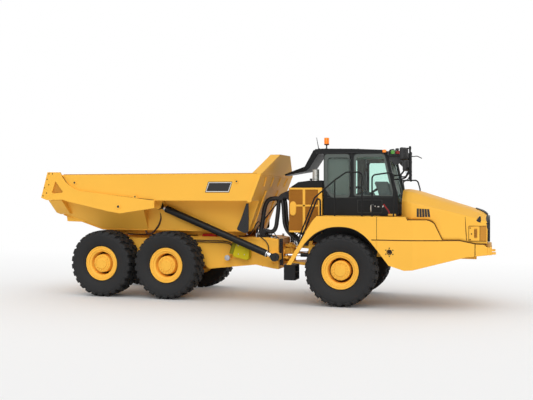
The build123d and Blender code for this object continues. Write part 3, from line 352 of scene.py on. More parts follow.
def tyre_form():
    """The carcass, a turned profile, with lugs: along each lug s runs from the tread's
    middle over the shoulder, P = R(s) +- height across the wedge w, turned by phi(s)."""
    half = [(0.335, 0.205), (0.423, 0.212), (0.440, 0.240), (0.452, 0.247), (0.470, 0.249),
            (0.478, 0.258), (0.520, 0.277), (0.560, 0.291), (0.620, 0.3035), (0.655, 0.3065),
            (0.660, 0.3095), (0.690, 0.3095), (0.697, 0.306), (0.722, 0.301), (0.745, 0.288),
            (0.757, 0.255), (0.762, 0.200), (0.765, 0.0)]
    carcass = turned(half + [(r, -y) for r, y in reversed(half[:-1])], 96)
    # along the lug: distance from the middle, top radius, foot radius, twist, half width
    rows = np.array([
        (-0.012, 0.799, 0.750, 0.000, 0.058),
        (0.055, 0.800, 0.750, 0.010, 0.066),
        (0.100, 0.800, 0.750, 0.024, 0.067),
        (0.130, 0.799, 0.750, 0.092, 0.068),
        (0.185, 0.797, 0.746, 0.104, 0.069),
        (0.235, 0.794, 0.736, 0.112, 0.070),
        (0.266, 0.790, 0.726, 0.116, 0.071),
        (0.290, 0.778, 0.716, 0.116, 0.071),
        (0.303, 0.756, 0.708, 0.116, 0.070),
        (0.307, 0.722, 0.704, 0.116, 0.066)])
    y, top, foot, twist, width = rows.T[:, :, None]
    slope = 0.013
    side = np.array([-1, -1, 1, 1])
    radius = np.concatenate([foot, top, top, foot], 1)
    out = np.array([0.7, 1, 1, 0.7]) * 0.004
    angle = twist + side * (width + slope * np.array([1, 0, 0, 1]))
    reach = y + np.array([-1, 1, 1, -1]) * out * (y > 0.28)
    lug = grid(np.stack([radius * np.sin(angle), reach, radius * np.cos(angle)], -1), round_v=True)
    last = len(lug[0]) - 1
    lug = lug[0], lug[1] + [[0, 1, 2, 3], [last, last - 1, last - 2, last - 3]]
    count = 26
    step = 2 * np.pi / count
    none = np.zeros((count, 3))
    near = copies(lug, about_y(step * np.arange(count)), none)
    # the other half of the tread: the lug turned half round about the upright axis
    flip = lug[0] * (-1, -1, 1), lug[1]
    return join(carcass, near, copies(flip, about_y(step * (np.arange(count) + 0.5)), none))


WHEELS = [(axle + "_" + side) for axle in ("front", "middle", "rear") for side in ("left", "right")]


def wheel_centre(wheel):
    """The middle of a wheel's tyre."""
    low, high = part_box("tyre_" + wheel)
    return (low + high) / 2


tyre_shape = tyre_form()
for wheel in WHEELS:
    tyre = piece("tread_" + wheel, shifted(tyre_shape, wheel_centre(wheel)), tyre_rubber,
                 "wheel_" + wheel, edge=24)
    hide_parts("tyre_" + wheel)


# ================================================================= wheels
# Three-piece steel wheels on planetary hubs: a lock ring and flange, a deep well, and
# a bolted hub cover with a raised centre; all sprayed yellow with the frame.
def bolt_form(radius, height):
    """A hexagon bolt head with a washer, standing along +Y at the origin."""
    a = np.arange(6) * np.pi / 3
    ring = np.stack([np.cos(a), 0 * a, np.sin(a)], -1)
    washer = np.array([(1.35, -0.3), (1.35, 0.18), (1.0, 0.18), (1.0, 0.85), (0.8, 1.0),
                       (0.0, 1.0)])
    return grid(ring[:, None] * (washer[:, 0] * radius)[:, None]
                + washer[:, 1][:, None] * height * np.array((0, 1, 0)), round_u=True)


def ring_of(form, count, radius, start=0.0):
    """A form repeated round the Y axis at a radius."""
    a = start + 2 * np.pi * np.arange(count) / count
    return copies(form, about_y(a), radius * np.stack([np.sin(a), 0 * a, np.cos(a)], -1))


def wheel_form():
    """The disc, a turned profile from hub to flanges, with rings of nuts and studs, five ribs
    on the hub cover and a valve; its outer face looks along +Y."""
    profile = [(0.116, 0.059), (0.116, -0.12), (0.2, -0.12), (0.2, -0.06), (0.305, -0.06),
               (0.310, -0.24), (0.415, -0.24), (0.415, -0.215), (0.335, -0.215), (0.335, 0.213),
               (0.405, 0.213), (0.414, 0.217), (0.415, 0.228), (0.412, 0.238), (0.402, 0.2405),
               (0.386, 0.236), (0.381, 0.228), (0.377, 0.224), (0.371, 0.224), (0.367, 0.230),
               (0.340, 0.230), (0.334, 0.226), (0.331, 0.216), (0.322, 0.208), (0.300, 0.203),
               (0.288, 0.196), (0.280, 0.180), (0.273, 0.000), (0.268, -0.012), (0.226, -0.012),
               (0.220, 0.000), (0.216, 0.190), (0.211, 0.197), (0.196, 0.199), (0.193, 0.206),
               (0.190, 0.208), (0.140, 0.210), (0.134, 0.214), (0.130, 0.226), (0.124, 0.231),
               (0.060, 0.234), (0.0, 0.235)]
    cover = turned(profile, 96)
    nuts = ring_of(shifted(bolt_form(0.013, 0.022), (0, -0.010, 0)), 20, 0.247)
    studs = ring_of(shifted(bolt_form(0.0135, 0.016), (0, 0.209, 0)), 16, 0.168, 0.1)
    lugs = np.array([(0.118, 0.2), (0.118, 0.233), (0.060, 0.2345), (0.060, 0.2)])
    wedge = np.array([-1.0, 1.0])
    spoke = np.stack([np.stack([wedge * 0.018, 0 * wedge + y + 0.0022, 0 * wedge + r], -1)
                      for r, y in lugs])
    rib = grid(spoke, round_u=True)
    rib = rib[0], rib[1] + [[0, 2, 4, 6], [7, 5, 3, 1]]
    valve = shifted(turned([(0.0, 0.0), (0.009, 0.0), (0.009, 0.035), (0.005, 0.04), (0.0, 0.04)],
                           10), (0.0, 0.200, 0.296))
    return join(cover, nuts, studs, ring_of(rib, 5, 0.0), valve)


wheel_shape = wheel_form()
# a brown ring of painted shade on the floor of the deep gap between the hub and the rim
groove_shade_paint = paint("groove_shade", tone(70, 38, 12), 0.8, 0.0)
for wheel in WHEELS:
    shape = wheel_shape if wheel.endswith("left") else across(wheel_shape)
    rim = piece("disc_" + wheel, shifted(shape, wheel_centre(wheel)), yellow, "wheel_" + wheel,
                edge=30)
    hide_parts("rim_" + wheel)
groove = turned([(0.227, -0.010), (0.227, 0.012), (0.270, 0.012), (0.270, -0.010)], 64)
for wheel in WHEELS:
    shape = groove if wheel.endswith("left") else across(groove)
    piece("groove_" + wheel, shifted(shape, wheel_centre(wheel)), groove_shade_paint, "wheel_" + wheel)


# ================================================================= front fenders
# Pressed steel fenders bolted to the deck, one sheet each with a rounded arch and a
# black splash liner behind the lip.
def spline(points, count=8):
    """A smooth curve through the points; on each run b to c, with neighbours a and d, it is
    (2b + (c - a)t + (2a - 5b + 4c - d)t^2 + (3b - a - 3c + d)t^3) / 2."""
    p = np.asarray(points, float)
    p = np.concatenate([2 * p[:1] - p[1:2], p, 2 * p[-1:] - p[-2:-1]])
    t = np.linspace(0, 1, count, endpoint=False).reshape((1, -1) + (1,) * (p.ndim - 1))
    a, b, c, d = (p[k:len(p) - 3 + k, None] for k in range(4))
    run = (2 * b + (c - a) * t + (2 * a - 5 * b + 4 * c - d) * t ** 2
           + (3 * b - a - 3 * c + d) * t ** 3) / 2
    return np.concatenate([run.reshape((-1,) + p.shape[1:]), p[-2:-1]])


def prism(outline, low, high, plane="xz"):
    """A flat outline carried straight from low to high along the axis that the plane lacks."""
    o = np.asarray(outline, float)
    n = len(o)
    axes = {"xz": (0, 2, 1), "yz": (1, 2, 0), "xy": (0, 1, 2)}[plane]
    points = np.zeros((2, n, 3))
    points[:, :, axes[0]], points[:, :, axes[1]] = o[:, 0], o[:, 1]
    points[:, :, axes[2]] = np.array([low, high])[:, None]
    skin = grid(points, round_v=True)
    return skin[0], skin[1] + [list(range(n)), list(range(2 * n - 1, n - 1, -1))]


def block(x, y, z):
    """A box between the ends given for each axis."""
    return prism([(x[0], z[0]), (x[1], z[0]), (x[1], z[1]), (x[0], z[1])], y[0], y[1])


def carried(path, outline, up):
    """An outline carried along a path: P = C(s) + a A(s) + b B(s), where A = T x up and
    B = A x T for the path's direction T; both ends are closed."""
    c = np.asarray(path, float)
    t = np.gradient(c, axis=0)
    t /= np.linalg.norm(t, axis=1, keepdims=True)
    side = np.cross(t, np.asarray(up, float))
    side /= np.linalg.norm(side, axis=1, keepdims=True)
    rise = np.cross(side, t)
    o = np.asarray(outline, float)
    if o.ndim == 2:
        o = np.repeat(o[None], len(c), 0)
    skin = grid(c[:, None] + o[..., :1] * side[:, None] + o[..., 1:] * rise[:, None], round_v=True)
    n, total = o.shape[1], o.shape[1] * len(c)
    return skin[0], skin[1] + [list(range(n)), list(range(total - 1, total - n - 1, -1))]


def tube(path, radius, sides=12, up=(0, 1, 0)):
    """A round tube: the outline is r (cos a, sin a), where r may change along the path."""
    a = np.linspace(0, 2 * np.pi, sides, endpoint=False)
    ring = np.stack([np.cos(a), np.sin(a)], -1)
    r = np.broadcast_to(np.asarray(radius, float), len(path))
    return carried(path, ring[None] * r[:, None, None], up)


def strip(path, width, thickness, up):
    """A flat strip along a path, lying across the up direction."""
    w, h = width / 2, thickness / 2
    return carried(path, [(-w, -h), (w, -h), (w, h), (-w, h)], up)


def both(form):
    """A form and its mirror image on the other side of the machine."""
    return join(form, across(form))


def here(form):
    """Moves a form drawn from the front axle into the part's frame."""
    return shifted(form, (FRONT_AXLE, 0, 0))


def plastic(name, colour, roughness=0.5):
    """Moulded plastic: one tone with a fine spark-eroded grain."""
    finish, s, shader = material(name)
    grain = s.noise(180.0, 2.0)
    bump = s.node("Bump", {}, {"Strength": 0.12, "Distance": 0.002, "Height": grain})
    put(s.tree, shader, {"Base Color": s.blend(grain, colour, tuple(c * 0.8 for c in colour[:3])
                                               + (1.0,)),
                         "Roughness": roughness + grain * 0.08, "Normal": bump})
    return finish


# black plastic for liners and mouldings, also used as painted shade inside holes
black_plastic_and_shade = plastic("black_plastic", tone(24, 24, 25), 0.6)
FENDER_Y, DECK_Z, FENDER_END = 1.420, 2.000, 0.814
ARCH = np.array([(-1.091, 0.905), (-0.93, 1.17), (-0.745, 1.435), (-0.52, 1.63), (-0.24, 1.745),
                 (0.05, 1.768), (0.30, 1.725), (0.52, 1.600), (0.68, 1.445), (0.816, 1.278)])
arch = spline(ARCH, 6)
lined = arch[12:]          # the liner starts above the arch's rear foot


def fender_form():
    """A fender's side face, the skin over its arch, and the deck behind it, on the left."""
    back = spline([(-1.203, 0.905), (-1.060, 1.140), (-0.906, 1.385), (-0.740, 1.684),
                   (-0.625, 1.868), (-0.555, 1.955)], 4)
    outline = np.concatenate([arch, [(FENDER_END, DECK_Z - 0.001), (-0.480, DECK_Z - 0.001),
                                     (-0.52, 1.987)], back[::-1]])
    face = prism(outline, FENDER_Y - 0.05, FENDER_Y - 0.001)
    skin_path = np.insert(lined + (0, 0.012), 1, 1.12, axis=1)
    skin = carried(skin_path, [(-0.298, -0.010), (0.298, -0.010), (0.298, 0.010),
                               (-0.298, 0.010)], (0, 0, 1))
    deck = block((-0.52, FENDER_END), (0.858, FENDER_Y - 0.002), (1.962, DECK_Z))
    return join(face, skin, deck)


fenders = piece("front_fenders", here(both(fender_form())), yellow, "front_unit",
                bevel=0.008)
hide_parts("fenders")
liner_path = np.insert(lined - (0, 0.012), 1, 1.105, axis=1)
wall_line = np.concatenate([lined[:-2] - (0, 0.006),
                            [(0.700, 1.000), (0.560, 1.300), (0.200, 1.520), (-0.200, 1.520),
                             (-0.560, 1.300)]])
piece("arch_walls", here(both(prism(wall_line, 0.745, 0.757))), black_plastic_and_shade, "front_unit")
piece("arch_liners", here(both(strip(liner_path, 0.52, 0.012, (0, 0, 1)))), black_plastic_and_shade,
      "front_unit")


# ================================================================= side panels
# Folded side sheets under the hood; the joints between sheets show as dark gaps, and
# a round recovery point is bolted through each lower sheet.
# dark brown for the joints between sheets, also used as painted shade along the side rails' folds
# and round the vent boxes
joint_and_shade_dark = plastic("joint_gaps_and_shade_lines", tone(92, 56, 12), 0.9)
# a darker yellow that paints shade: in the vent boxes' recesses, along the body's rim and in the
# tail plate's pocket
shade_tone_paint = paint("panel_shade", tone(200, 138, 52), 0.6, 0.0)
BEND_X, NOSE_X, NOSE_Y = 1.570, 3.100, 0.940


def panel_y(x):
    """The side panels' outer face: straight to the bend, then running in to the nose."""
    return np.where(x < BEND_X, FENDER_Y,
                    FENDER_Y + (NOSE_Y - FENDER_Y) * (x - BEND_X) / (NOSE_X - BEND_X))


def panel_gap(points, width=0.022):
    """A dark joint that follows the side panels' face through (X, Z) points."""
    x, z = np.asarray(points, float).T
    return strip(np.stack([x, -(panel_y(x) + 0.0005), z], -1), width, 0.003, (0, -1, 0))


lower_joint = [(0.700, 1.497), (1.20, 1.497), (1.565, 1.497), (1.575, 1.497), (2.185, 1.497)]
piece("panel_joints", here(both(join(
    panel_gap(lower_joint), panel_gap([(FENDER_END, 1.497), (FENDER_END, 1.99)], 0.010),
    panel_gap([(2.850, 1.150), (2.850, 1.415)], 0.022),
    panel_gap([(2.180, 1.500), (2.215, 1.500), (2.540, 1.500), (2.867, 1.426), (3.090, 1.418)],
              0.024),
    panel_gap([(1.450, 1.985), (1.473, 1.934), (1.905, 1.934), (1.984, 1.894), (2.022, 1.855),
               (2.185, 1.512)], 0.024)))), joint_and_shade_dark, "front_unit")


RECOVERY_X, RECOVERY_Z = 1.089, 1.240
collar = turned([(0.044, 0.0), (0.044, 0.008), (0.056, 0.010), (0.058, 0.0)], 32)
piece("recovery_points", here(both(join(
    shifted(ring_of(bolt_form(0.011, 0.011), 6, 0.086), (RECOVERY_X, FENDER_Y + 0.001, RECOVERY_Z)),
    shifted(collar, (RECOVERY_X, FENDER_Y, RECOVERY_Z))))), casting, "front_unit")
cup = turned([(0.0, 0.0), (0.041, 0.0), (0.041, 0.012), (0.0, 0.012)], 24)
piece("recovery_cups", here(both(shifted(cup, (RECOVERY_X, FENDER_Y - 0.06, RECOVERY_Z)))),
      black_plastic_and_shade, "front_unit")


# ================================================================= hood
# A one-piece moulded hood that tips forwards: broad flat top, rounded shoulders, side
# walls that fold in behind the louvre and run down to the nose.
HOOD_X = np.array([1.30, 1.345, 1.42, 1.52, 1.66, 2.15, 2.64, 2.90, 3.02, 3.105])
HOOD_HALF = np.array([0.955, 1.060, 1.150, 1.205, 1.217, 1.224, 1.080, 0.998, 0.958, 0.920])
HOOD_SHOULDER = np.array([2.330, 2.335, 2.330, 2.310, 2.282, 2.165, 2.035, 1.967, 1.928, 1.885])
HOOD_CREST = np.array([2.592, 2.600, 2.594, 2.575, 2.540, 2.380, 2.225, 2.145, 2.100, 2.040])
HOOD_EDGE = np.array([(1.30, 1.952), (1.473, 1.942), (1.905, 1.942), (1.990, 1.900),
                      (2.030, 1.860), (2.190, 1.520), (2.215, 1.512), (2.540, 1.512),
                      (2.867, 1.437), (3.105, 1.428)])


def smoothed(x, xs, ys, reach=0.03):
    """A broken line rounded at its corners: the mean of it over a short reach."""
    shifts = np.linspace(-reach, reach, 7)
    return np.mean([np.interp(x + d, xs, ys) for d in shifts], axis=0)


def hood_wall(x, z):
    """How far the hood's side wall stands from the centre plane."""
    half = smoothed(x, HOOD_X, HOOD_HALF)
    foot, shoulder = np.interp(x, *HOOD_EDGE.T), smoothed(x, HOOD_X, HOOD_SHOULDER)
    return half - 0.022 * np.clip((z - foot) / (shoulder - foot), 0, 1) ** 2


def hood_form():
    """A skin over cross sections along X: each is a smooth line from the wall's foot over the
    shoulder to the crest, mirrored, with foot, shoulder and crest heights read off by X."""
    x = np.unique(np.concatenate([np.linspace(1.30, 3.105, 46), HOOD_EDGE[:, 0],
                                  np.linspace(1.30, 1.56, 14), np.linspace(1.99, 2.20, 8)]))
    half, shoulder = smoothed(x, HOOD_X, HOOD_HALF), smoothed(x, HOOD_X, HOOD_SHOULDER)
    crest, foot = smoothed(x, HOOD_X, HOOD_CREST), np.interp(x, *HOOD_EDGE.T)
    rows = [(half, foot), (half - 0.006, foot + 0.5 * (shoulder - foot)),
            (half - 0.016, shoulder - 0.06), (half - 0.024, shoulder - 0.016),
            (half - 0.042, shoulder + 0.006), (half - 0.080, shoulder + 0.024),
            (half * 0.74, crest - 0.066), (half * 0.62, crest - 0.026),
            (half * 0.45, crest - 0.006), (half * 0.20, crest), (half * 0, crest)]
    section = spline([np.stack([x, y, z], -1) for y, z in rows], 4)
    whole = np.concatenate([section, section[-2::-1] * (1, -1, 1)])
    points, faces = grid(whole)
    m, n = whole.shape[:2]
    ends = [[k * n for k in range(m)], [k * n + n - 1 for k in range(m)][::-1]]
    return points, faces + ends


hood = piece("hood_shell", here(hood_form()), yellow, "hood", edge=40, wall=0.022)
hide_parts("hood")


def on_hood(points, out=0.0015):
    """Puts (X, Z) points on the right side wall of the hood."""
    x, z = np.asarray(points, float).T
    return np.stack([x, -(hood_wall(x, z) + out), z], -1)


def plate_on_hood(outline, thickness=0.006, out=0.002):
    """A thin plate lying on the hood's side wall, with the given (X, Z) outline."""
    face = on_hood(outline, out)
    n = len(face)
    points = np.stack([face, face + (0, thickness, 0)])
    skin = grid(points, round_v=True)
    return skin[0], skin[1] + [list(range(n)), list(range(2 * n - 1, n - 1, -1))]


def rect_on_hood(x0, x1, z0, z1, thickness, out):
    """A rectangular plate lying on the hood's side wall."""
    return plate_on_hood([(x0, z0), (x1, z0), (x1, z1), (x0, z1)], thickness, out)


# the louvre: five slanted slots, each with a turned-out lip in front of it
def louvre_form(lip):
    """The five slots, or the lips in front of them, as plates on the hood's wall."""
    k = np.arange(5)
    top_x, foot_x, width = 1.646 + k * 0.0535, 1.646 + k * 0.0600, 0.047
    slot = np.stack([np.stack([foot_x, 1.995 + 0 * k], -1),
                     np.stack([foot_x + width, 1.995 + 0 * k], -1),
                     np.stack([top_x + width, 2.178 - 0.003 * k], -1),
                     np.stack([top_x, 2.178 - 0.003 * k], -1)], 1)
    if lip:
        slot = slot + np.array([(width, 0), (0.010, 0), (0.008, 0), (width, 0)])
    return join(*[plate_on_hood(s, 0.012, 0.010 if lip else 0.002) for s in slot])


piece("louvre_slots", here(both(louvre_form(False))), black_plastic_and_shade, "hood")
piece("louvre_lips", here(both(louvre_form(True))), yellow, "hood", bevel=0.003)

# the joint of the nose panel on each side wall
nose_joint = spline([(2.679, 1.500), (2.660, 1.78), (2.645, 2.000)], 6)
piece("nose_joints", here(both(carried(on_hood(nose_joint, 0.0005),
                                       [(-0.008, -0.001), (0.008, -0.001), (0.008, 0.0015),
                                        (-0.008, 0.0015)], (0, -1, 0)))), joint_and_shade_dark, "hood")


# ================================================================= nose
# The nose carries a bolted vent box and a headlamp on each side, and the cooling
# grille: a black frame round horizontal slats.
def ring(outer, inner, low, high, plane="yz"):
    """A flat frame: the skin between an outer and an inner outline, from low to high."""
    o, i = np.asarray(outer, float), np.asarray(inner, float)
    axes = {"xz": (0, 2, 1), "yz": (1, 2, 0), "xy": (0, 1, 2)}[plane]
    points = np.zeros((4, len(o), 3))
    for row, (line, level) in enumerate([(o, low), (o, high), (i, high), (i, low)]):
        points[row][:, axes[0]], points[row][:, axes[1]] = line.T
        points[row][:, axes[2]] = level
    return grid(points, round_u=True, round_v=True)


GRILLE = np.array([(0.880, 1.470), (0.885, 1.760), (0.860, 1.832), (0.820, 1.880), (0.735, 1.928),
                   (0.640, 1.960), (0.500, 1.984), (0.350, 2.000)])
GRILLE_X = (3.1055, 3.160)


def grille_forms():
    """The grille's frame, its back plate, and its slats with the posts behind them."""
    outline = np.concatenate([GRILLE, GRILLE[::-1] * (-1, 1)])
    middle = np.array([0, 1.74])
    inner = middle + (outline - middle) * (0.93, 0.86)
    frame_ring = ring(outline, inner, *GRILLE_X)
    back = prism(middle + (outline - middle) * (0.94, 0.88), GRILLE_X[0], GRILLE_X[0] + 0.008, "yz")
    z = np.linspace(1.53, 1.93, 9)
    half = np.interp(z, [1.51, 1.76, 1.85, 1.95], [0.82, 0.82, 0.76, 0.45])
    slats = [strip([(3.132, -h, level), (3.132, h, level)], 0.030, 0.010, (0.5, 0, 1))
             for h, level in zip(half, z)]
    posts = [block((3.118, 3.146), (y - 0.006, y + 0.006), (1.50, 1.95)) for y in (-0.4, 0, 0.4)]
    return frame_ring, back, join(*slats, *posts)


frame_ring, back, slats = grille_forms()
grille = piece("grille_frame", here(frame_ring), black_paint, "hood", bevel=0.006)
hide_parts("grille")
piece("grille_back", here(back), black_plastic_and_shade, "hood")
piece("grille_slats", here(slats), black_paint, "hood", bevel=0.003)
lens = plastic("lamp_lens", tone(24, 20, 20), 0.15)
piece("headlamps", here(both(plate_on_hood([(2.872, 1.925), (2.905, 1.898), (2.960, 1.880),
                                            (2.975, 1.925), (2.968, 2.012), (2.940, 2.018)],
                                           0.012, 0.007))), lens, "hood",
      bevel=0.004)
vent = [(2.728, 1.520), (2.760, 1.500), (2.950, 1.500), (2.950, 1.760), (2.935, 1.778),
        (2.745, 1.788), (2.728, 1.770)]
piece("vent_boxes", here(both(plate_on_hood(vent, 0.010, 0.008))), yellow, "hood",
      bevel=0.004)
# painted shade in the vent box's recesses
vent_rows = [(2.955, 3.085, 1.490, 1.800), (2.832, 2.898, 1.555, 1.755)]
recess = [rect_on_hood(*row, 0.006, 0.0105) for row in vent_rows]
piece("vent_recesses", here(both(join(*recess))), shade_tone_paint, "hood")
# dark ribs and bolts in the vent box, and dark lines of painted shade round its edges
ribs = [rect_on_hood(x, x + 0.008, 1.565, 1.730, 0.006, 0.0125) for x in (2.840, 2.858, 2.876)]
bolts = [shifted(across(bolt_form(0.011, 0.009)), on_hood([(x, z)], 0.010)[0])
         for x, z in ((2.752, 1.765), (2.752, 1.520), (2.780, 1.640))]
lines = [rect_on_hood(*row, 0.004, 0.009) for row in (
    (2.720, 3.085, 1.802, 1.812), (2.728, 3.085, 1.478, 1.488), (2.720, 2.729, 1.488, 1.802),
    (2.945, 2.953, 1.488, 1.802))]
piece("vent_ribs", here(both(join(*ribs, *bolts, *lines))), joint_and_shade_dark, "hood")

# a dark seal runs round the front rim of the hood, over the crest
rim_line = spline([(3.100, -0.900, 1.700), (3.100, -0.902, 1.820), (3.098, -0.880, 1.890),
                   (3.096, -0.800, 1.935), (3.094, -0.680, 1.985), (3.092, -0.560, 2.018),
                   (3.090, -0.400, 2.036), (3.090, 0.0, 2.043)], 5)
rim_line = np.concatenate([rim_line, rim_line[-2::-1] * (1, -1, 1)])
cap_x = np.array([2.850, 2.900, 2.960, 3.020, 3.060, 3.096])
cap_line = np.stack([cap_x, 0 * cap_x, np.interp(cap_x, HOOD_X, HOOD_CREST) + 0.004], -1)
cap_half = np.array([0.300, 0.360, 0.420, 0.470, 0.510, 0.560])[:, None, None]
cap_outline = np.array([(-1, -0.013), (1, -0.013), (1, 0.013), (-1, 0.013)])[None]
cap_outline = np.concatenate([cap_outline[..., :1] * cap_half,
                              np.repeat(cap_outline[..., 1:], len(cap_x), 0)], -1)
piece("nose_cap", here(carried(cap_line, cap_outline, (0, 0, 1))), black_plastic_and_shade, "hood",
      bevel=0.006)
piece("nose_rim", here(strip(rim_line, 0.060, 0.026, (0, 0.2, 1))), black_plastic_and_shade, "hood",
      bevel=0.006)


# ================================================================= load body
# A welded body of wear plate: the load slides over a kicked-up tail floor, held by box
# sections under the tail; round eyes take the crane's hooks.
BODY_Y, RAIL_FACE = 1.400, 1.445


def tail_form():
    """The box section, gusset, beam and foot tube under one side of the tail."""
    box = prism([(1.385, 2.328), (1.02, 2.010), (0.84, 1.965), (1.10, 2.328)], -7.300, -6.930, "yz")
    gusset = prism([(1.390, 2.330), (1.240, 2.330), (1.09, 2.20)], -6.300, -6.270, "yz")
    beam = prism([(-7.150, 1.945), (-7.125, 1.787), (-6.720, 1.778), (-6.640, 1.770),
                  (-6.600, 1.800)], 0.0, 0.80)
    foot = [(-7.225, 0.812, 1.955), (-6.160, 0.752, 1.603), (-6.120, 0.748, 1.597),
            (-2.420, 0.748, 1.597)]
    return join(box, gusset, beam, tube(foot, 0.013, 8))


piece("tail_sections", here(both(tail_form())), yellow, "dump_body",
      bevel=0.006)


def eye_form(rim, hole, thickness=0.012):
    """A round eye plate with a raised rim, facing left."""
    return turned([(hole, 0.0), (hole, thickness), (hole * 1.15, thickness + 0.004),
                   (rim * 0.9, thickness + 0.004), (rim, thickness), (rim, 0.0)], 32)


bump = prism([(-4.975, 2.395), (-4.962, 2.432), (-4.938, 2.462), (-4.906, 2.472), (-4.874, 2.460),
              (-4.850, 2.428), (-4.838, 2.388)], RAIL_FACE - 0.045, RAIL_FACE + 0.004)
piece("body_eyes", here(both(join(
    shifted(eye_form(0.062, 0.024), (-6.553, BODY_Y, 2.757)),
    shifted(eye_form(0.048, 0.020), (-2.378, BODY_Y, 2.773)),
    shifted(eye_form(0.066, 0.030), (-5.350, RAIL_FACE, 2.180)),
    shifted(eye_form(0.030, 0.018, 0.006), (-4.906, RAIL_FACE + 0.002, 2.420)), bump))),
    yellow, "dump_body", bevel=0.002)


def holes_form():
    """Dark discs of painted shade at the bottoms of the eyes and deep in the tail plate's bolt
    holes.
    """
    shade_disc = turned([(0.0, 0.0), (1.0, 0.0), (1.0, 0.010), (0.0, 0.010)], 20)
    spots = np.array([(-6.553, BODY_Y + 0.001, 2.757, 0.0235),
                      (-2.378, BODY_Y + 0.001, 2.773, 0.0195),
                      (-5.350, RAIL_FACE + 0.001, 2.180, 0.0295),
                      (-4.906, RAIL_FACE + 0.003, 2.420, 0.0175)]
                     + [(x, BODY_Y + 0.024, z, 0.0168) for x, z in (
                         (-7.240, 2.976), (-7.146, 2.976), (-7.293, 2.843), (-7.248, 2.709),
                         (-7.371, 2.633), (-7.313, 2.504), (-7.410, 2.432))])
    scale = (np.einsum("k,ab->kab", spots[:, 3], np.diag([1.0, 0.0, 1.0]))
             + np.diag([0.0, 1.0, 0.0]))
    return copies(shade_disc, scale, spots[:, :3])


# dark discs that paint the shade inside the eyes and bolt holes
piece("body_hole_shades", here(both(holes_form())), black_plastic_and_shade, "dump_body")


def wall_x(z, out=0.0):
    """The leaning front wall of the body at a height."""
    return -2.035 + 0.385 * (z - 2.3) + out


def front_wall_form():
    """Folded joint and slanted stiffeners on the leaning front wall."""
    across_wall = strip([(wall_x(2.90, 0.006), -1.39, 2.90), (wall_x(2.90, 0.006), 1.39, 2.90)],
                        0.030, 0.014, (1, 0, -0.385))
    ribs = [strip([(wall_x(2.88, 0.010), y, 2.88), (wall_x(2.66, 0.010), y * 0.92, 2.66)], 0.016,
                  0.024, (1, 0, -0.385)) for y in (-0.95, -0.32, 0.32, 0.95)]
    uprights = [strip([(wall_x(2.56, 0.012), y, 2.56), (wall_x(1.66, 0.012), y * 0.9, 1.66)], 0.09,
                      0.028, (1, 0, -0.385)) for y in (-0.52, 0.52)]
    return join(across_wall, *ribs, *uprights)


piece("front_wall_ribs", here(front_wall_form()), yellow, "dump_body", bevel=0.004)

# a rounded bead along each side's rim, in a darker tone that paints the rim's shadow line
rim_path = [(-6.86, BODY_Y - 0.012, 2.952), (-1.90, BODY_Y - 0.012, 2.952)]
piece("rim_shade_beads", here(both(tube(rim_path, 0.013, 8))), shade_tone_paint, "dump_body")

# a plain slanted block of black film with a white keyline on each side panel
film = plastic("side_film", tone(20, 19, 20), 0.35)
keyline = plastic("side_keyline", tone(240, 238, 232), 0.4)
BADGE = np.array([(-3.150, 2.520), (-2.560, 2.520), (-2.480, 2.770), (-3.070, 2.770)])
piece("badge_films", here(both(prism(BADGE, BODY_Y - 0.001, BODY_Y + 0.0022))), film, "dump_body")
badge_middle = BADGE.mean(0)
lines = ring(badge_middle + (BADGE - badge_middle) * (0.95, 0.88),
             badge_middle + (BADGE - badge_middle) * (0.90, 0.76), BODY_Y, BODY_Y + 0.0032, "xz")
piece("badge_lines", here(both(lines)), keyline, "dump_body")

# the mud guard hung from the ledge ahead of the hoist
guard = [(-2.268, 2.270), (-2.208, 2.270), (-2.205, 1.900), (-2.208, 1.640), (-2.230, 1.590),
         (-2.300, 1.572), (-2.480, 1.640), (-2.500, 1.675), (-2.400, 1.900)]
gloss = plastic("gloss_black", tone(17, 17, 18), 0.12)
far_guard = prism(np.array(guard) - (0.10, 0), 1.015, 1.040)
piece("body_mud_guards", here(join(across(prism(guard, 1.015, 1.040)), far_guard)), gloss,
      "dump_body", bevel=0.010)

# a dark strip of painted shade along the long fold of each side rail, and painted shade in the tail
# plate's pocket
plate_line = spline([(x, 1.442, z) for x, z in (
    (-6.864, 2.915), (-6.729, 2.742), (-6.565, 2.612), (-6.386, 2.546), (-5.973, 2.503),
    (-5.508, 2.453), (-4.992, 2.397), (-4.429, 2.342))], 4)
piece("rail_fold_shades", here(both(strip(plate_line, 0.014, 0.004, (0, 1, 0)))), joint_and_shade_dark,
      "dump_body")
pocket = [(-7.062, 2.785), (-7.155, 2.525), (-7.120, 2.500), (-6.872, 2.518), (-6.866, 2.545)]
piece("tail_pocket_shades", here(both(prism(pocket, 1.402, 1.406))), shade_tone_paint,
      "dump_body")


# ================================================================= hoist
# Two long double-acting cylinders: black barrels with a clamped feed pipe, a bright
# gland ring, chromed rods, and a hose from each upper eye down the body.
def metal(name, colour, roughness, scratch=0.1):
    """Bare or plated metal with a faint brushed variation."""
    finish, s, shader = material(name)
    brushed = s.noise(40.0, 4.0)
    put(s.tree, shader, {"Base Color": colour, "Metallic": 1.0,
                         "Roughness": roughness + brushed * scratch})
    return finish


chrome = metal("chrome_plate", tone(222, 224, 226), 0.10, 0.08)
zinc = metal("zinc_plate", tone(188, 190, 192), 0.28, 0.2)
dress(chrome, "steer_rod_left", "steer_rod_right")
dress(casting, "hoist_rods")
HOIST_EYE, HOIST_FOOT = np.array([-4.540, 0.900, 2.200]), np.array([-1.615, 0.900, 1.020])
hoist_run = HOIST_FOOT - HOIST_EYE
hoist_length = np.linalg.norm(hoist_run)
hoist_way = hoist_run / hoist_length
hoist_under = np.cross((0, 1, 0), hoist_way)


def on_hoist(distance, under=0.0):
    """A point on the hoist's centre line, or under it."""
    return HOIST_EYE + distance * hoist_way + under * hoist_under


def sleeve_on_hoist(start, end, radius):
    """A band round the barrel between two distances, a little narrower at its ends."""
    ends = [on_hoist(d) for d in np.linspace(start, end, 4)]
    return tube(ends, [radius * 0.93, radius, radius, radius * 0.93], 40)


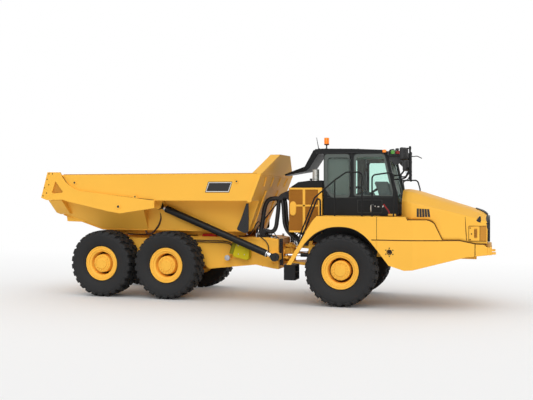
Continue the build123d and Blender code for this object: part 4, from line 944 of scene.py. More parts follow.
barrel_end = hoist_length - 0.19
clamps = [sleeve_on_hoist(d, d + 0.035, 0.0865) for d in (0.62, 1.30, 1.98, 2.60)]
feed = [on_hoist(d, aside - 0.065) + (0, -aside, 0) for d, aside in
        ((0.24, 0.080), (0.30, 0.100), (0.40, 0.102), (1.6, 0.102), (2.62, 0.102), (2.74, 0.100),
         (2.80, 0.080))]
feed = spline(feed, 6)
piece("hoist_bands", here(both(join(*clamps, tube(feed, 0.014, 10, (0, 0, 1)),
                                    sleeve_on_hoist(0.205, 0.245, 0.087)))), black_paint,
      "hoist_barrels")
glands = join(sleeve_on_hoist(barrel_end - 0.035, barrel_end - 0.002, 0.0865),
              sleeve_on_hoist(0.150, 0.203, 0.060))
piece("hoist_glands", here(both(glands)), zinc, "hoist_barrels")
rod_skin = tube([on_hoist(d) for d in (0.46, 1.5, 2.5, hoist_length - 0.115)], 0.0503, 32)
piece("hoist_chrome", here(both(rod_skin)), chrome, "hoist_rods")
eye_cap = turned([(0.0, 0.0), (0.040, 0.0), (0.040, 0.014), (0.034, 0.020), (0, 0.020)], 28)
piece("hoist_eye_caps", here(both(shifted(eye_cap, HOIST_FOOT + (0, 0.0505, 0)))), casting,
      "hoist_rods")
hose_rubber = rubber("hose_rubber", tone(20, 20, 21), 0.42)
drop = spline([(-4.580, 0.754, 2.190), (-4.592, 0.752, 2.120), (-4.552, 0.750, 1.950),
               (-4.570, 0.750, 1.820), (-4.640, 0.750, 1.680), (-4.755, 0.750, 1.550),
               (-4.870, 0.745, 1.500), (-4.955, 0.730, 1.530), (-4.965, 0.725, 1.600)], 6)
brown = rubber("brown_sleeve", tone(52, 30, 16), 0.5)
piece("hoist_hoses", here(both(tube(drop, 0.025, 12))), brown, "dump_body")


# ================================================================= rear frame fittings
# Along the head of the rear frame: a painted valve box, an accumulator with its cap, a
# safety prop, pipes and bolt rows; at its tail, the moulded lenses of the tail lamps.
olive = paint("olive_sleeve", tone(128, 122, 22), 0.5)
lime = paint("lime_box", tone(196, 178, 22), 0.5)
pale = paint("pale_cap", tone(176, 178, 184), 0.45)
red = paint("red_prop", tone(190, 40, 24), 0.4)
side_box = [(-2.600, 1.345), (-2.290, 1.285), (-2.290, 0.985), (-2.330, 0.915), (-2.660, 0.985),
            (-2.700, 1.030)]
valve = piece("valve_boxes", here(both(prism(side_box, 0.552, 0.775))), lime, "rear_frame",
              bevel=0.018)
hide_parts("side_tanks")
lid_bolts = ring_of(bolt_form(0.009, 0.009), 2, 0.10)
piece("valve_bolts", here(both(shifted(lid_bolts, (-2.40, 0.776, 1.150), (-2.55, 0.776, 1.160)))),
      zinc, "rear_frame")
prop = spline([(-2.640, 0.700, 1.395), (-2.655, 0.705, 1.30), (-2.735, 0.720, 1.060)], 3)
piece("accumulators", here(both(tube(prop, [0.060] + [0.068] * (len(prop) - 2) + [0.060], 28))),
      olive, "rear_frame")
cap_form = turned([(0.0, 0.0), (0.060, 0.0), (0.066, 0.010), (0.066, 0.034), (0.050, 0.046),
                   (0.020, 0.052), (0.0, 0.052)], 32)
piece("accumulator_caps", here(both(shifted(cap_form, (-2.830, 0.752, 0.965)))), pale,
      "rear_frame")
piece("accumulator_feet", here(both(block((-2.880, -2.780), (0.551, 0.751), (0.930, 1.000)))),
      yellow, "rear_frame", bevel=0.006)
wedge = [(-3.560, 1.452), (-3.180, 1.452), (-3.190, 1.482), (-3.260, 1.496), (-3.300, 1.520),
         (-3.520, 1.520)]
piece("safety_props", here(both(prism(wedge, 0.515, 0.575))), red, "rear_frame",
      bevel=0.008)


def head_details():
    """Flange plates, pad bolts and lifting lugs on the head of the rear frame."""
    x = np.linspace(-3.25, -1.75, 7)
    bolts = shifted(bolt_form(0.013, 0.012),
                    *np.stack([x, 0.5505 + 0 * x, 0.83 + (x + 1.75) * 0.02], -1))
    seam_low = strip([(-3.37, 0.552, 0.700), (-2.18, 0.552, 0.828), (-1.76, 0.552, 0.752)], 0.030,
                     0.010, (0, 1, 0))
    seam_up = strip([(-3.90, 0.552, 1.400), (-1.86, 0.552, 1.400), (-1.65, 0.552, 1.362)], 0.024,
                    0.010, (0, 1, 0))
    stiff = [strip([(xx, 0.552, 0.76), (xx, 0.552, 1.39)], 0.022, 0.012, (0, 1, 0))
             for xx in (-3.05, -2.02)]
    return join(bolts, seam_low, seam_up, *stiff)


piece("head_details", here(both(head_details())), yellow, "rear_frame",
      bevel=0.003)
pipes = [spline([(-4.05, 0.565 + k * 0.028, 1.365 - k * 0.034),
                 (-3.40, 0.565 + k * 0.028, 1.352 - k * 0.034),
                 (-2.90, 0.565 + k * 0.028, 1.335 - k * 0.034),
                 (-2.76, 0.572 + k * 0.02, 1.245 - k * 0.03)], 6) for k in range(2)]
drops = [tube([(-1.590 + 0.045 * k, 0.520, 1.430), (-1.592 + 0.045 * k, 0.520, 1.20),
               (-1.583 + 0.045 * k, 0.510, 0.80)], 0.022, 12, (1, 0, 0)) for k in range(2)]
piece("frame_pipes", here(both(join(*[tube(p, 0.011, 8) for p in pipes], *drops))), hose_rubber,
      "rear_frame")
lens_red = plastic("red_lens", tone(150, 14, 10), 0.12)
lens_amber = plastic("amber_lens", tone(255, 140, 30), 0.12)
put(lens_amber.node_tree, lens_amber.node_tree.nodes["Principled BSDF"],
    {"Emission Color": tone(255, 140, 30), "Emission Strength": 0.35})
for name, lens_y, finish_of, slot_name in (
        ("tail_lenses_red", (0.520, 0.592), lens_red, "red_lens"),
        ("tail_lenses_amber", (0.440, 0.510), lens_amber, "amber_lens")):
    piece(name, here(both(block((-6.426, -6.414), lens_y, (1.180, 1.262)))), finish_of,
          "rear_frame", bevel=0.004)
dress(casting, "tail_lamps")


# ================================================================= hitch hoses
# Heavy hydraulic hoses leave a swivel over the steering pivot, loop back and end in
# crimped fittings on the rear frame; a third drops to the front frame.
def upright(form):
    """A form turned about +Y set up along +Z instead."""
    points, faces = form
    return points[:, [2, 0, 1]], faces


HOSE_Y = -0.450


def hose_line(points, count):
    """A smooth line through (X, Z) points in the upright plane of the loops."""
    return spline([(x, HOSE_Y, z) for x, z in points], count)


def three_hoses(outer, inner):
    """The two heavy hoses, and a lighter one beside the inner of them."""
    return here(join(tube(outer, 0.054, 20), tube(inner, 0.050, 20),
                     tube(inner + (-0.02, 0.09, 0.0), 0.036, 20)))


outer_loop = hose_line([(-1.480, 2.395), (-1.560, 2.385), (-1.660, 2.374), (-1.760, 2.376),
                        (-1.855, 2.358), (-1.925, 2.305), (-1.972, 2.220), (-2.004, 2.105),
                        (-2.026, 1.980), (-2.044, 1.850)], 6)
inner_loop = hose_line([(-1.560, 2.420), (-1.620, 2.370), (-1.648, 2.270), (-1.657, 2.130),
                        (-1.672, 1.990), (-1.690, 1.850)], 6)
outer_foot = hose_line([(-2.044, 1.850), (-2.060, 1.750), (-2.084, 1.620), (-2.100, 1.470)], 8)
inner_foot = hose_line([(-1.690, 1.850), (-1.706, 1.740), (-1.744, 1.640), (-1.815, 1.586),
                        (-1.890, 1.590), (-1.960, 1.610)], 8)
loop_tops = piece("hose_loops", three_hoses(outer_loop, inner_loop), hose_rubber, None,
                  edge=60)
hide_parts("hoses")
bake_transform(loop_tops)
loop_feet = piece("hose_feet", three_hoses(outer_foot, inner_foot), hose_rubber, None,
                  edge=60)
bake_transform(loop_feet)
thin_loop = spline([(-1.560, -0.440, 2.370), (-1.640, -0.450, 2.310), (-1.766, -0.450, 2.164),
                    (-1.899, -0.450, 2.003)], 8)
thin_foot = spline([(-1.899, -0.450, 2.003), (-2.032, -0.460, 1.842), (-2.130, -0.460, 1.730),
                    (-2.190, -0.460, 1.620), (-2.200, -0.450, 1.500)], 8)
thin = piece("thin_loop", here(tube(thin_loop, 0.016, 10)), hose_rubber, None,
             edge=60)
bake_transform(thin)
thin_low = piece("thin_foot", here(tube(thin_foot, 0.016, 10)), hose_rubber, None,
                 edge=60)
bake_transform(thin_low)
third = spline([(-1.560, -0.480, 2.440), (-1.550, -0.490, 2.340), (-1.525, -0.500, 2.180),
                (-1.510, -0.500, 1.945), (-1.492, -0.500, 1.780), (-1.440, -0.500, 1.640),
                (-1.360, -0.500, 1.540), (-1.270, -0.500, 1.460), (-1.195, -0.500, 1.380)], 8)
piece("deck_hoses", here(join(tube(third, 0.040, 20), tube(third + (0.045, 0.085, 0.01), 0.045, 20),
                              tube(third * (1, -1, 1), 0.036, 20))),
      hose_rubber, "front_unit", edge=60)
manifold = [(-1.330, 2.600), (-1.400, 2.560), (-1.560, 2.490), (-1.640, 2.420), (-1.640, 2.350),
            (-1.560, 2.330), (-1.480, 2.400), (-1.330, 2.300)]
piece("hose_manifold", here(prism(manifold, -0.560, -0.340)), casting, "front_unit",
      bevel=0.012)


ferrule = upright(turned([(0.0, 0.0), (1.0, 0.0), (1.0, 0.35), (0.86, 0.37), (0.86, 0.45),
                          (1.0, 0.47), (1.0, 0.95), (0.92, 1.0), (0.0, 1.0)], 24))


def ferrules(spots):
    """Crimped ends: rows of X, Y, Z, radius and height."""
    t = np.asarray(spots, float)
    scale = np.zeros((len(t), 3, 3))
    scale[:, 0, 0] = scale[:, 1, 1] = t[:, 3]
    scale[:, 2, 2] = t[:, 4]
    return copies(ferrule, scale, t[:, :3])


piece("rear_ferrules", here(ferrules([
    (-2.107, HOSE_Y, 1.449, 0.052, 0.11), (-2.200, -0.450, 1.449, 0.022, 0.09)])), zinc,
    "rear_frame")
foot_block = join(block((-2.060, -1.955), (-0.510, -0.250), (1.540, 1.640)),
                  block((-2.050, -1.970), (-0.500, -0.260), (1.449, 1.545)))
piece("hose_foot_block", here(foot_block), casting, "rear_frame", bevel=0.010)
piece("front_ferrules", here(ferrules([
    (-1.180, -0.500, 1.276, 0.050, 0.12), (-1.135, -0.415, 1.276, 0.050, 0.12),
    (-1.178, 0.500, 1.276, 0.046, 0.12)])), zinc, "front_unit")

# small fittings and thin hoses on top of both frame heads
rear_valves = join(block((-2.32, -1.92), (-0.24, -0.06), (1.440, 1.500)),
                   block((-2.40, -2.16), (0.24, 0.46), (1.440, 1.520)))
piece("rear_valve_blocks", here(rear_valves), casting, "rear_frame", bevel=0.006)
valve_x = np.linspace(-2.26, -1.98, 4)
piece("rear_valve_nuts", here(join(
    ferrules([(x, -0.16, 1.498, 0.022, 0.055) for x in valve_x]),
    ferrules([(-1.80, -0.50, 1.425, 0.030, 0.07), (-1.72, -0.42, 1.40, 0.026, 0.08),
              (-1.78, 0.44, 1.425, 0.030, 0.07)]))), zinc, "rear_frame")
thin_hoses = [spline([(x, -0.16, 1.545), (x + 0.02, -0.20, top), (x + 0.14, -0.30, top),
                      (x + 0.24, -0.40, 1.50), (x + 0.30, -0.46, 1.455)], 6)
              for x, top in zip(valve_x, (1.62, 1.64, 1.61, 1.59))]
side_hoses = [spline([(-2.62, -0.530, 1.470), (-2.42, -0.520, 1.475), (-2.30, -0.500, 1.58),
                      (-2.24, -0.490, 1.680), (-2.20, -0.480, 1.760), (-2.14, -0.470, 1.82),
                      (-2.11, -0.460, 1.75), (-2.12, -0.470, 1.47)], 6),
              spline([(-2.00, -0.535, 1.470), (-1.80, -0.535, 1.485), (-1.66, -0.510, 1.460),
                      (-1.64, -0.480, 1.420)], 6)]
drop_hose = spline([(-2.14, -0.520, 1.475), (-2.082, -0.550, 1.475), (-2.015, -0.575, 1.434),
                    (-1.927, -0.580, 1.361), (-1.872, -0.580, 1.267), (-1.855, -0.580, 1.157),
                    (-1.862, -0.566, 1.080)], 6)
piece("rear_thin_hoses", here(join(*[tube(h, 0.0115, 8) for h in thin_hoses + side_hoses],
                                   tube(drop_hose, 0.012, 8))), hose_rubber, "rear_frame",
      edge=60)
front_x = np.array([-1.20, -1.12, -1.05, -0.98])
piece("front_valve_blocks", here(both(block((-1.16, -0.90), (0.45, 0.54), (1.274, 1.40)))),
      casting, "front_unit", bevel=0.006)
front_nuts = ferrules([(x + 0.09, 0.49, 1.395, 0.024, 0.075) for x in front_x])
piece("front_valve_nuts", here(both(front_nuts)), zinc, "front_unit")
front_hoses = [spline([(x + 0.09, 0.49, 1.46), (x + 0.09, 0.49, 1.54), (x + 0.02, 0.50, 1.585),
                       (x - 0.06, 0.52, 1.52), (x - 0.07, 0.54, 1.40), (x + 0.02, 0.56, 1.30)], 6)
               for x in front_x]
piece("front_thin_hoses", here(both(join(*[tube(h, 0.0115, 8) for h in front_hoses]))), hose_rubber,
      "front_unit", edge=60)


# ================================================================= cooler
# The oil cooler stands across the deck behind the cab: a folded frame with a post and
# cross bars, recessed mesh panels, and a moulded black cover with a filler knob.
COOLER_Y = 0.800
# a darker yellow that paints shade on the recessed mesh panels and the fins at the cooler's back
shade_yellow = paint("mesh_panel_shade", tone(166, 108, 36), 0.6, 0.0, grain=0.5)


def bars_on_side(rows, y, out=0.012):
    """Flat bars on a side face: rows of low X, high X, low Z and high Z."""
    return join(*[block((a, b), (y - 0.004, y + out), (c, d)) for a, b, c, d in rows])


cooler_frame = bars_on_side([(-1.190, -0.520, 2.586, 2.630), (-0.612, -0.520, 1.600, 2.590),
                             (-0.975, -0.915, 1.600, 2.590), (-1.190, -0.600, 2.196, 2.240),
                             (-1.290, -1.190, 2.586, 2.630), (-1.290, -0.520, 1.600, 1.640)],
                            COOLER_Y)
piece("cooler_frames", here(both(cooler_frame)), yellow, "front_unit", bevel=0.005)
fins = [(a, b, z, z + 0.006) for a, b in ((-1.290, -0.986), (-0.904, -0.616))
        for z in np.arange(1.665, 2.575, 0.030) if not 2.18 < z < 2.25]
panels = bars_on_side([(-1.300, -0.606, 1.630, 2.590)], COOLER_Y, 0.002)
piece("cooler_panels", here(both(join(panels, bars_on_side(fins, COOLER_Y, 0.006)))), shade_yellow,
      "front_unit")
pill_v = np.linspace(0, 2 * np.pi, 33)[:-1]
pill = np.stack([-1.205 + 0.078 * np.sign(np.cos(pill_v)) * np.abs(np.cos(pill_v)) ** 0.8,
                 2.150 + 0.165 * np.sign(np.sin(pill_v)) * np.abs(np.sin(pill_v)) ** 0.55], -1)
piece("cooler_bulges", here(both(prism(pill, 0.74, COOLER_Y + 0.028))), yellow, "front_unit",
      bevel=0.022)
rear_fins = [block((-1.336, -1.328), (-0.64, 0.64), (z, z + 0.008))
             for z in np.arange(1.66, 2.34, 0.034)]
BAR_X = (-1.342, -1.328)
rear_bars = [block(BAR_X, (-0.66, 0.66), z) for z in ((1.60, 1.645), (2.34, 2.36), (2.585, 2.63))]
rear_posts = [block(BAR_X, (y - 0.02, y + 0.02), (1.60, 2.62)) for y in (-0.64, -0.22, 0.22, 0.64)]
piece("cooler_rear", here(join(*rear_fins)), shade_yellow, "front_unit")
piece("cooler_rear_frame", here(join(*rear_bars, *rear_posts)), yellow, "front_unit",
      bevel=0.003)
knob = upright(turned([(0.0, 0.0), (0.020, 0.0), (0.020, 0.030), (0.034, 0.034), (0.036, 0.052),
                       (0.024, 0.062), (0.0, 0.064)], 24))
cover_lines = [strip([(-1.31, y, 2.645), (-1.135, y, 2.757), (-0.84, y, 2.794), (-0.56, y, 2.794)],
                     0.018, 0.014, (0.2, 0, 1)) for y in (-0.58, -0.2, 0.2, 0.58)]
piece("cover_trims", here(join(shifted(knob, (-0.880, -0.36, 2.786)), *cover_lines)), casting,
      "front_unit", bevel=0.003)
pale_metal = metal("stack_metal", tone(196, 196, 192), 0.42, 0.25)
stack_z = np.linspace(0, 1, 61)
stack_r = 0.074 + 0.009 * (0.5 + 0.5 * np.cos(stack_z * 2 * np.pi * 9)) ** 2
stack_profile = np.concatenate([[(0.0, 0.0)], np.stack([stack_r, 0.004 + stack_z * 0.262], -1),
                                [(0.068, 0.269), (0.060, 0.269), (0.060, 0.20), (0.0, 0.20)]])
stack_low, stack_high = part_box("exhaust_stack")
stack = piece("ribbed_stack", shifted(upright(turned(stack_profile, 40)),
                                      ((stack_low.x + stack_high.x) / 2,
                                       (stack_low.y + stack_high.y) / 2, stack_low.z)),
              pale_metal, "front_unit", edge=60)
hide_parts("exhaust_stack")


# ================================================================= cab
# A welded steel cab with bonded tinted glass in rounded rubber seals, a steel bulkhead
# lining behind the seat, a sprung seat in black cloth, and a moulded dash.
CAB_Y = 0.850


def glass(name, tint, gloss):
    """Tinted glass: most light passes and takes the tint, the rest meets a glossy face."""
    finish, s, shader = material(name)
    put(s.tree, shader, {"Base Color": gloss, "Roughness": 0.04 + s.noise(3.0) * 0.04,
                         "Specular IOR Level": 0.6})
    through = s.node("BsdfTransparent", {}, {"Color": tint})
    mixed = s.node("MixShader", {}, {0: 0.05, 1: through, 2: Shade(s.tree, shader.outputs[0])})
    put(s.tree, finish.node_tree.nodes["Material Output"], {"Surface": mixed})
    return finish


tinted = glass("tinted_glass", tone(242, 255, 251), tone(178, 168, 172))
dress(tinted, "cab_glass", "door_glass")


def rounded(points, radius, count=6):
    """A closed outline with its corners turned into curves: at a corner B between A and C,
    (1 - t)^2 P + 2t(1 - t) B + t^2 Q, with P and Q a radius from B towards A and C."""
    b = np.asarray(points, float)
    a, c = np.roll(b, 1, 0), np.roll(b, -1, 0)
    r = np.broadcast_to(np.asarray(radius, float), len(b))[:, None]
    p = b + (a - b) / np.linalg.norm(a - b, axis=1, keepdims=True) * r
    q = b + (c - b) / np.linalg.norm(c - b, axis=1, keepdims=True) * r
    t = np.linspace(0, 1, count)[None, :, None]
    curve = (1 - t) ** 2 * p[:, None] + 2 * t * (1 - t) * b[:, None] + t ** 2 * q[:, None]
    return curve.reshape(-1, 2)


def seal(outer, inner, low, high, radius):
    """A rubber frame between two outlines, from low to high across the machine."""
    return ring(rounded(outer, 0.02), rounded(inner, radius), low, high, "xz")


seal_rubber = rubber("window_seal", tone(30, 33, 32), 0.5)
REAR_EDGE = [(0.125, 2.400), (0.125, 3.392), (-0.458, 3.396), (-0.458, 2.640), (-0.300, 2.400)]
REAR_LIGHT = [(0.118, 2.462), (0.118, 3.312), (-0.385, 3.312), (-0.385, 2.650), (-0.262, 2.462)]
FRONT_EDGE = [(0.222, 2.440), (1.118, 2.440), (0.950, 3.210), (0.900, 3.385), (0.222, 3.385)]
FRONT_LIGHT = [(0.270, 2.462), (1.078, 2.462), (0.932, 3.080), (0.888, 3.312), (0.270, 3.312)]
FRONT_EDGE_R, FRONT_LIGHT_R = [0.06, 0.03, 0.06, 0.05, 0.09], [0.05, 0.03, 0.05, 0.04, 0.08]
edge_glass = plastic("glass_border", tone(84, 92, 88), 0.10)
rear_border = ring(rounded(REAR_EDGE, 0.09), rounded(REAR_LIGHT, 0.08), CAB_Y, CAB_Y + 0.006, "xz")
front_border = ring(rounded(FRONT_EDGE, FRONT_EDGE_R), rounded(FRONT_LIGHT, FRONT_LIGHT_R),
                    CAB_Y, CAB_Y + 0.006, "xz")
piece("glass_borders", here(join(across(front_border), both(rear_border))), edge_glass,
      "front_unit", edge=60)


def rim_of(outline, radius, y, width=0.012):
    """A rubber bead round a rounded outline on a side face."""
    line = rounded(outline, radius)
    middle = line.mean(0)
    away = line - middle
    out = line + away / np.linalg.norm(away, axis=1, keepdims=True) * width
    return ring(out, line - away * 0.004, y - 0.004, y + 0.010, "xz")


piece("side_seals", here(join(across(rim_of(FRONT_EDGE, FRONT_EDGE_R, CAB_Y)),
                              both(rim_of(REAR_EDGE, 0.09, CAB_Y)))), seal_rubber, "front_unit",
      edge=60)
blind_grey = plastic("window_blind", tone(113, 105, 104), 0.75)
blind = block((-0.440, 0.112), (-0.800, -0.790), (2.440, 3.370))
piece("window_blind", here(blind), blind_grey, "front_unit", bevel=0.003)
far_pillar = [block((-0.455, -0.045), (0.790, 0.802), (2.430, 3.380)),
              block((0.018, 0.205), (0.790, 0.802), (2.430, 3.380))]
trim_grey = plastic("pillar_trim", tone(186, 166, 166), 0.75)
piece("far_shades", here(join(*far_pillar)), trim_grey, "front_unit",
      bevel=0.003)
far_door = [block((0.245, 0.900), (0.795, 0.806), (3.236, 3.350)),
            prism(np.array([(0.826, 2.470), (0.812, 2.782), (0.700, 3.236), (0.880, 3.236),
                            (0.960, 3.080), (1.080, 2.500), (1.080, 2.470)]), 0.795, 0.806)]
piece("door_shades", here(join(*far_door)), trim_grey, "door", bevel=0.003)
DOOR_OPENING = [(0.280, 2.410), (1.070, 2.410), (1.065, 2.482), (0.955, 2.980), (0.893, 3.285),
                (0.280, 3.285)]
DOOR_LIGHT = [(0.312, 2.440), (1.030, 2.440), (1.025, 2.480), (0.920, 2.970), (0.862, 3.250),
              (0.312, 3.250)]
piece("door_seal", here(seal(DOOR_OPENING, DOOR_LIGHT, CAB_Y - 0.030, CAB_Y + 0.004,
                             [0.07, 0.03, 0.03, 0.03, 0.07, 0.07])), seal_rubber, "door",
      edge=60)
screen_ring = np.array([(-0.745, 2.252), (0.745, 2.252), (0.745, 3.318), (-0.745, 3.318)])
outline = np.stack([rounded(screen_ring, 0.02), rounded(screen_ring * (0.955, 1) +
                    np.sign(screen_ring - (0, 2.8)) * (0, -0.03), 0.07)])
screen_x = np.interp(outline[..., 1], [2.25, 2.493, 2.988, 3.32], [1.180, 1.173, 1.046, 0.978])
face = np.stack([screen_x, outline[..., 0], outline[..., 1]], -1)
screen_seal = grid(np.stack([face[0] - (0.008, 0, 0), face[0] + (0.010, 0, 0),
                             face[1] + (0.010, 0, 0), face[1] - (0.008, 0, 0)]), True, True)
rear_ring = np.array([(-0.722, 2.498), (0.722, 2.498), (0.722, 3.302), (-0.722, 3.302)])
rear_window = ring(rounded(rear_ring, 0.02),
                   rounded(rear_ring - np.sign(rear_ring - (0, 2.9)) * 0.035, 0.08),
                   -0.478, -0.452)
piece("screen_seals", here(join(screen_seal, rear_window)), seal_rubber, "front_unit",
      edge=60)

lining_grey = plastic("cab_lining", tone(172, 182, 172), 0.7)
lining = join(block((-0.415, -0.403), (-0.790, 0.790), (2.46, 3.340)),
              block((-0.400, 0.960), (-0.790, 0.790), (3.330, 3.345)),
              block((-0.400, -0.10), (-0.790, -0.775), (2.06, 2.440)))
ribs = [block((-0.403, -0.397), (y - 0.006, y + 0.006), (2.50, 3.30)) for y in
        (-0.60, -0.20, 0.20, 0.60)]
piece("cab_lining", here(join(lining, *ribs)), lining_grey, "front_unit")


def pad_form(size, channels=0, crown=0.35):
    """A crowned closed cushion: for u round and v from foot to top, the outline is a rounded
    rectangle a sgn(cos u)|cos u|^0.3 drawn in between its corners, scaled by |cos v|^crown,
    and the height is c sgn(v)|sin v|^0.7, less a groove at each sewn channel."""
    u = np.linspace(0, 2 * np.pi, 64, endpoint=False)[None]
    v = np.linspace(-np.pi / 2, np.pi / 2, 25)[:, None]
    a, b, c = np.asarray(size) / 2
    pull = (0.955 + 0.045 * np.sin(2 * u) ** 2) * np.maximum(np.cos(v), 0) ** crown
    x = a * np.sign(np.cos(u)) * np.abs(np.cos(u)) ** 0.3 * pull
    y = b * np.sign(np.sin(u)) * np.abs(np.sin(u)) ** 0.3 * pull
    z = c * np.sign(v) * np.abs(np.sin(v)) ** 0.7 + 0 * u
    if channels:
        pitch = 2 * a / channels
        place = (x + a) % pitch - pitch / 2
        z = z - (v > 0) * 0.16 * c * np.exp(-((np.abs(place) - pitch / 2) / 0.012) ** 2)
    return grid(np.stack([x, y, z], -1), round_v=True)


def tilted(form, angle):
    """A form turned about the Y axis."""
    return form[0] @ about_y(np.array([angle]))[0].T, form[1]


def cloth(name, colour):
    """Woven seat cloth: two crossed sets of fine ribs with a soft pile."""
    finish, s, shader = material(name)
    place = s.node("TexCoord", out=3)
    warp, weft = (s.node("TexWave", {"bands_direction": d}, {"Vector": place, "Scale": 190.0},
                         out=1) for d in ("X", "Y"))
    weave = warp * weft
    bump = s.node("Bump", {}, {"Strength": 0.35, "Distance": 0.001, "Height": weave})
    put(s.tree, shader, {"Base Color": s.blend(weave, colour, tuple(c * 1.7 for c in colour[:3])
                                               + (1.0,)),
                         "Roughness": 0.88, "Sheen Weight": 0.2, "Normal": bump})
    return finish


seat_cloth = cloth("seat_cloth", tone(34, 36, 38))
cushions = [("seat_cushion", shifted(pad_form((0.50, 0.51, 0.115), 5), (0.160, 0, 2.362)), 0.8),
            ("seat_back", shifted(tilted(pad_form((0.64, 0.49, 0.12), 6), 1.473),
                                  (-0.200, 0, 2.690)), 0.8)]
for name, form, fill in cushions:
    cushion = piece(name, here(form), seat_cloth, "front_unit", edge=70)
    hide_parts("seat")
seat_steel = paint("seat_steel", tone(38, 39, 41), 0.5, 0.0)
bellows = np.stack([[0.150, 0.185, 0.150, 0.185, 0.150, 0.185, 0.150],
                    np.linspace(2.06, 2.255, 7)], -1)
skirt = [rounded([(-r, -r * 0.9), (r, -r * 0.9), (r, r * 0.9), (-r, r * 0.9)], 0.05)
         for r, z in bellows]
skirt = grid(np.stack([np.concatenate([q + (0.15, 0), np.full((len(q), 1), z)], 1)
                       for q, (r, z) in zip(skirt, bellows)]), round_v=True)
arms = [tube(spline([(-0.19, y, 2.50), (-0.10, y, 2.61), (0.05, y, 2.635), (0.20, y, 2.640)], 5),
             [0.018] * 5 + [0.026] * 11, 12) for y in (-0.275, 0.275)]
piece("seat_frame", here(join(skirt, block((-0.10, 0.40), (-0.24, 0.24), (2.253, 2.298)),
                              block((-0.02, 0.34), (-0.20, 0.20), (2.052, 2.075)), *arms)),
      seat_steel, "front_unit", bevel=0.008)
dash_black = plastic("dash_moulding", tone(30, 31, 33), 0.55)
dress(dash_black, "dash")
switch_panel = prism([(0.790, 2.405), (0.730, 2.600), (0.675, 2.735), (0.705, 2.768),
                      (0.960, 2.764), (1.010, 2.700), (1.060, 2.560), (1.090, 2.440),
                      (1.090, 2.405)], -0.788, -0.700)
piece("switch_panel", here(switch_panel), plastic("panel_grey", tone(92, 85, 88), 0.7),
      "front_unit", bevel=0.012)
console = [(0.10, 2.06), (0.62, 2.06), (0.70, 2.36), (0.60, 2.52), (0.36, 2.55), (0.16, 2.46)]
monitor = [(0.86, 2.56), (0.885, 2.555), (0.860, 2.76), (0.835, 2.755)]
stalks = [tube([(0.46, y, 2.53), (0.43, y, 2.62), (0.425, y, 2.66)], [0.012, 0.012, 0.024], 12)
          for y in (-0.50, -0.42)]
piece("cab_controls", here(join(prism(console, -0.56, -0.34), prism(monitor, -0.66, -0.42),
                                tube([(0.93, -0.54, 2.46), (0.865, -0.54, 2.58)], 0.014, 10),
                                *stalks)), dash_black, "front_unit", bevel=0.010)

# trim outside: a seam and grab handle on the right, the door's handle on the left, wipers
trim = join(block((-0.40, 1.12), (-CAB_Y - 0.006, -CAB_Y + 0.004), (2.396, 2.410)),
            ring(rounded([(0.30, 2.06), (0.86, 2.06), (0.86, 2.36), (0.30, 2.36)], 0.03),
                 rounded([(0.315, 2.075), (0.845, 2.075), (0.845, 2.345), (0.315, 2.345)], 0.025),
                 -CAB_Y - 0.008, -CAB_Y + 0.003, "xz"),
            tube([(1.215, -0.45, 2.30), (1.222, -0.20, 2.40), (1.158, 0.05, 2.75)], 0.011, 8),
            tube([(1.215, 0.45, 2.30), (1.222, 0.60, 2.40), (1.158, 0.62, 2.80)], 0.011, 8))
piece("cab_trim", here(trim), seal_rubber, "front_unit", bevel=0.003)
pale_plastic = plastic("pale_trim", tone(214, 214, 208), 0.4)
grab = spline([(0.650, -CAB_Y - 0.001, 2.245), (0.620, -CAB_Y - 0.020, 2.240),
               (0.608, -CAB_Y - 0.024, 2.200), (0.608, -CAB_Y - 0.024, 2.130),
               (0.612, -CAB_Y - 0.001, 2.085)], 5)
studs = [shifted(across(turned([(0.0, 0.0), (0.013, 0.0), (0.013, 0.006), (0.0, 0.008)], 16)),
                 (x, -CAB_Y, z)) for x, z in ((0.700, 2.215), (0.765, 2.205), (0.780, 2.205),
                                              (0.865, 2.200), (0.880, 2.220))]
piece("cab_fittings", here(join(tube(grab, 0.013, 10), *studs)), pale_plastic, "front_unit")
strap = [(0.885, -CAB_Y - 0.004, 2.262), (1.000, -CAB_Y - 0.006, 2.110),
         (1.020, -CAB_Y - 0.004, 2.040)]
piece("cab_strap", here(strip(strap, 0.030, 0.008, (0, 1, 0))), lens_red, "front_unit")
piece("cab_foot", here(block((0.985, 1.165), (-CAB_Y - 0.030, -CAB_Y + 0.002), (2.003, 2.045))),
      yellow, "front_unit", bevel=0.008)
pull = spline([(0.31, CAB_Y + 0.001, 2.25), (0.31, CAB_Y + 0.030, 2.24),
               (0.31, CAB_Y + 0.034, 2.10), (0.31, CAB_Y + 0.001, 2.085)], 5)
piece("door_pull", here(join(tube(pull, 0.010, 10, (1, 0, 0)),
                             ring([(0.27, 2.08), (1.10, 2.08), (1.08, 2.37), (0.27, 2.37)],
                                  [(0.285, 2.095), (1.085, 2.095), (1.065, 2.355), (0.285, 2.355)],
                                  CAB_Y - 0.002, CAB_Y + 0.005, "xz"))), seal_rubber, "door",
      bevel=0.002)


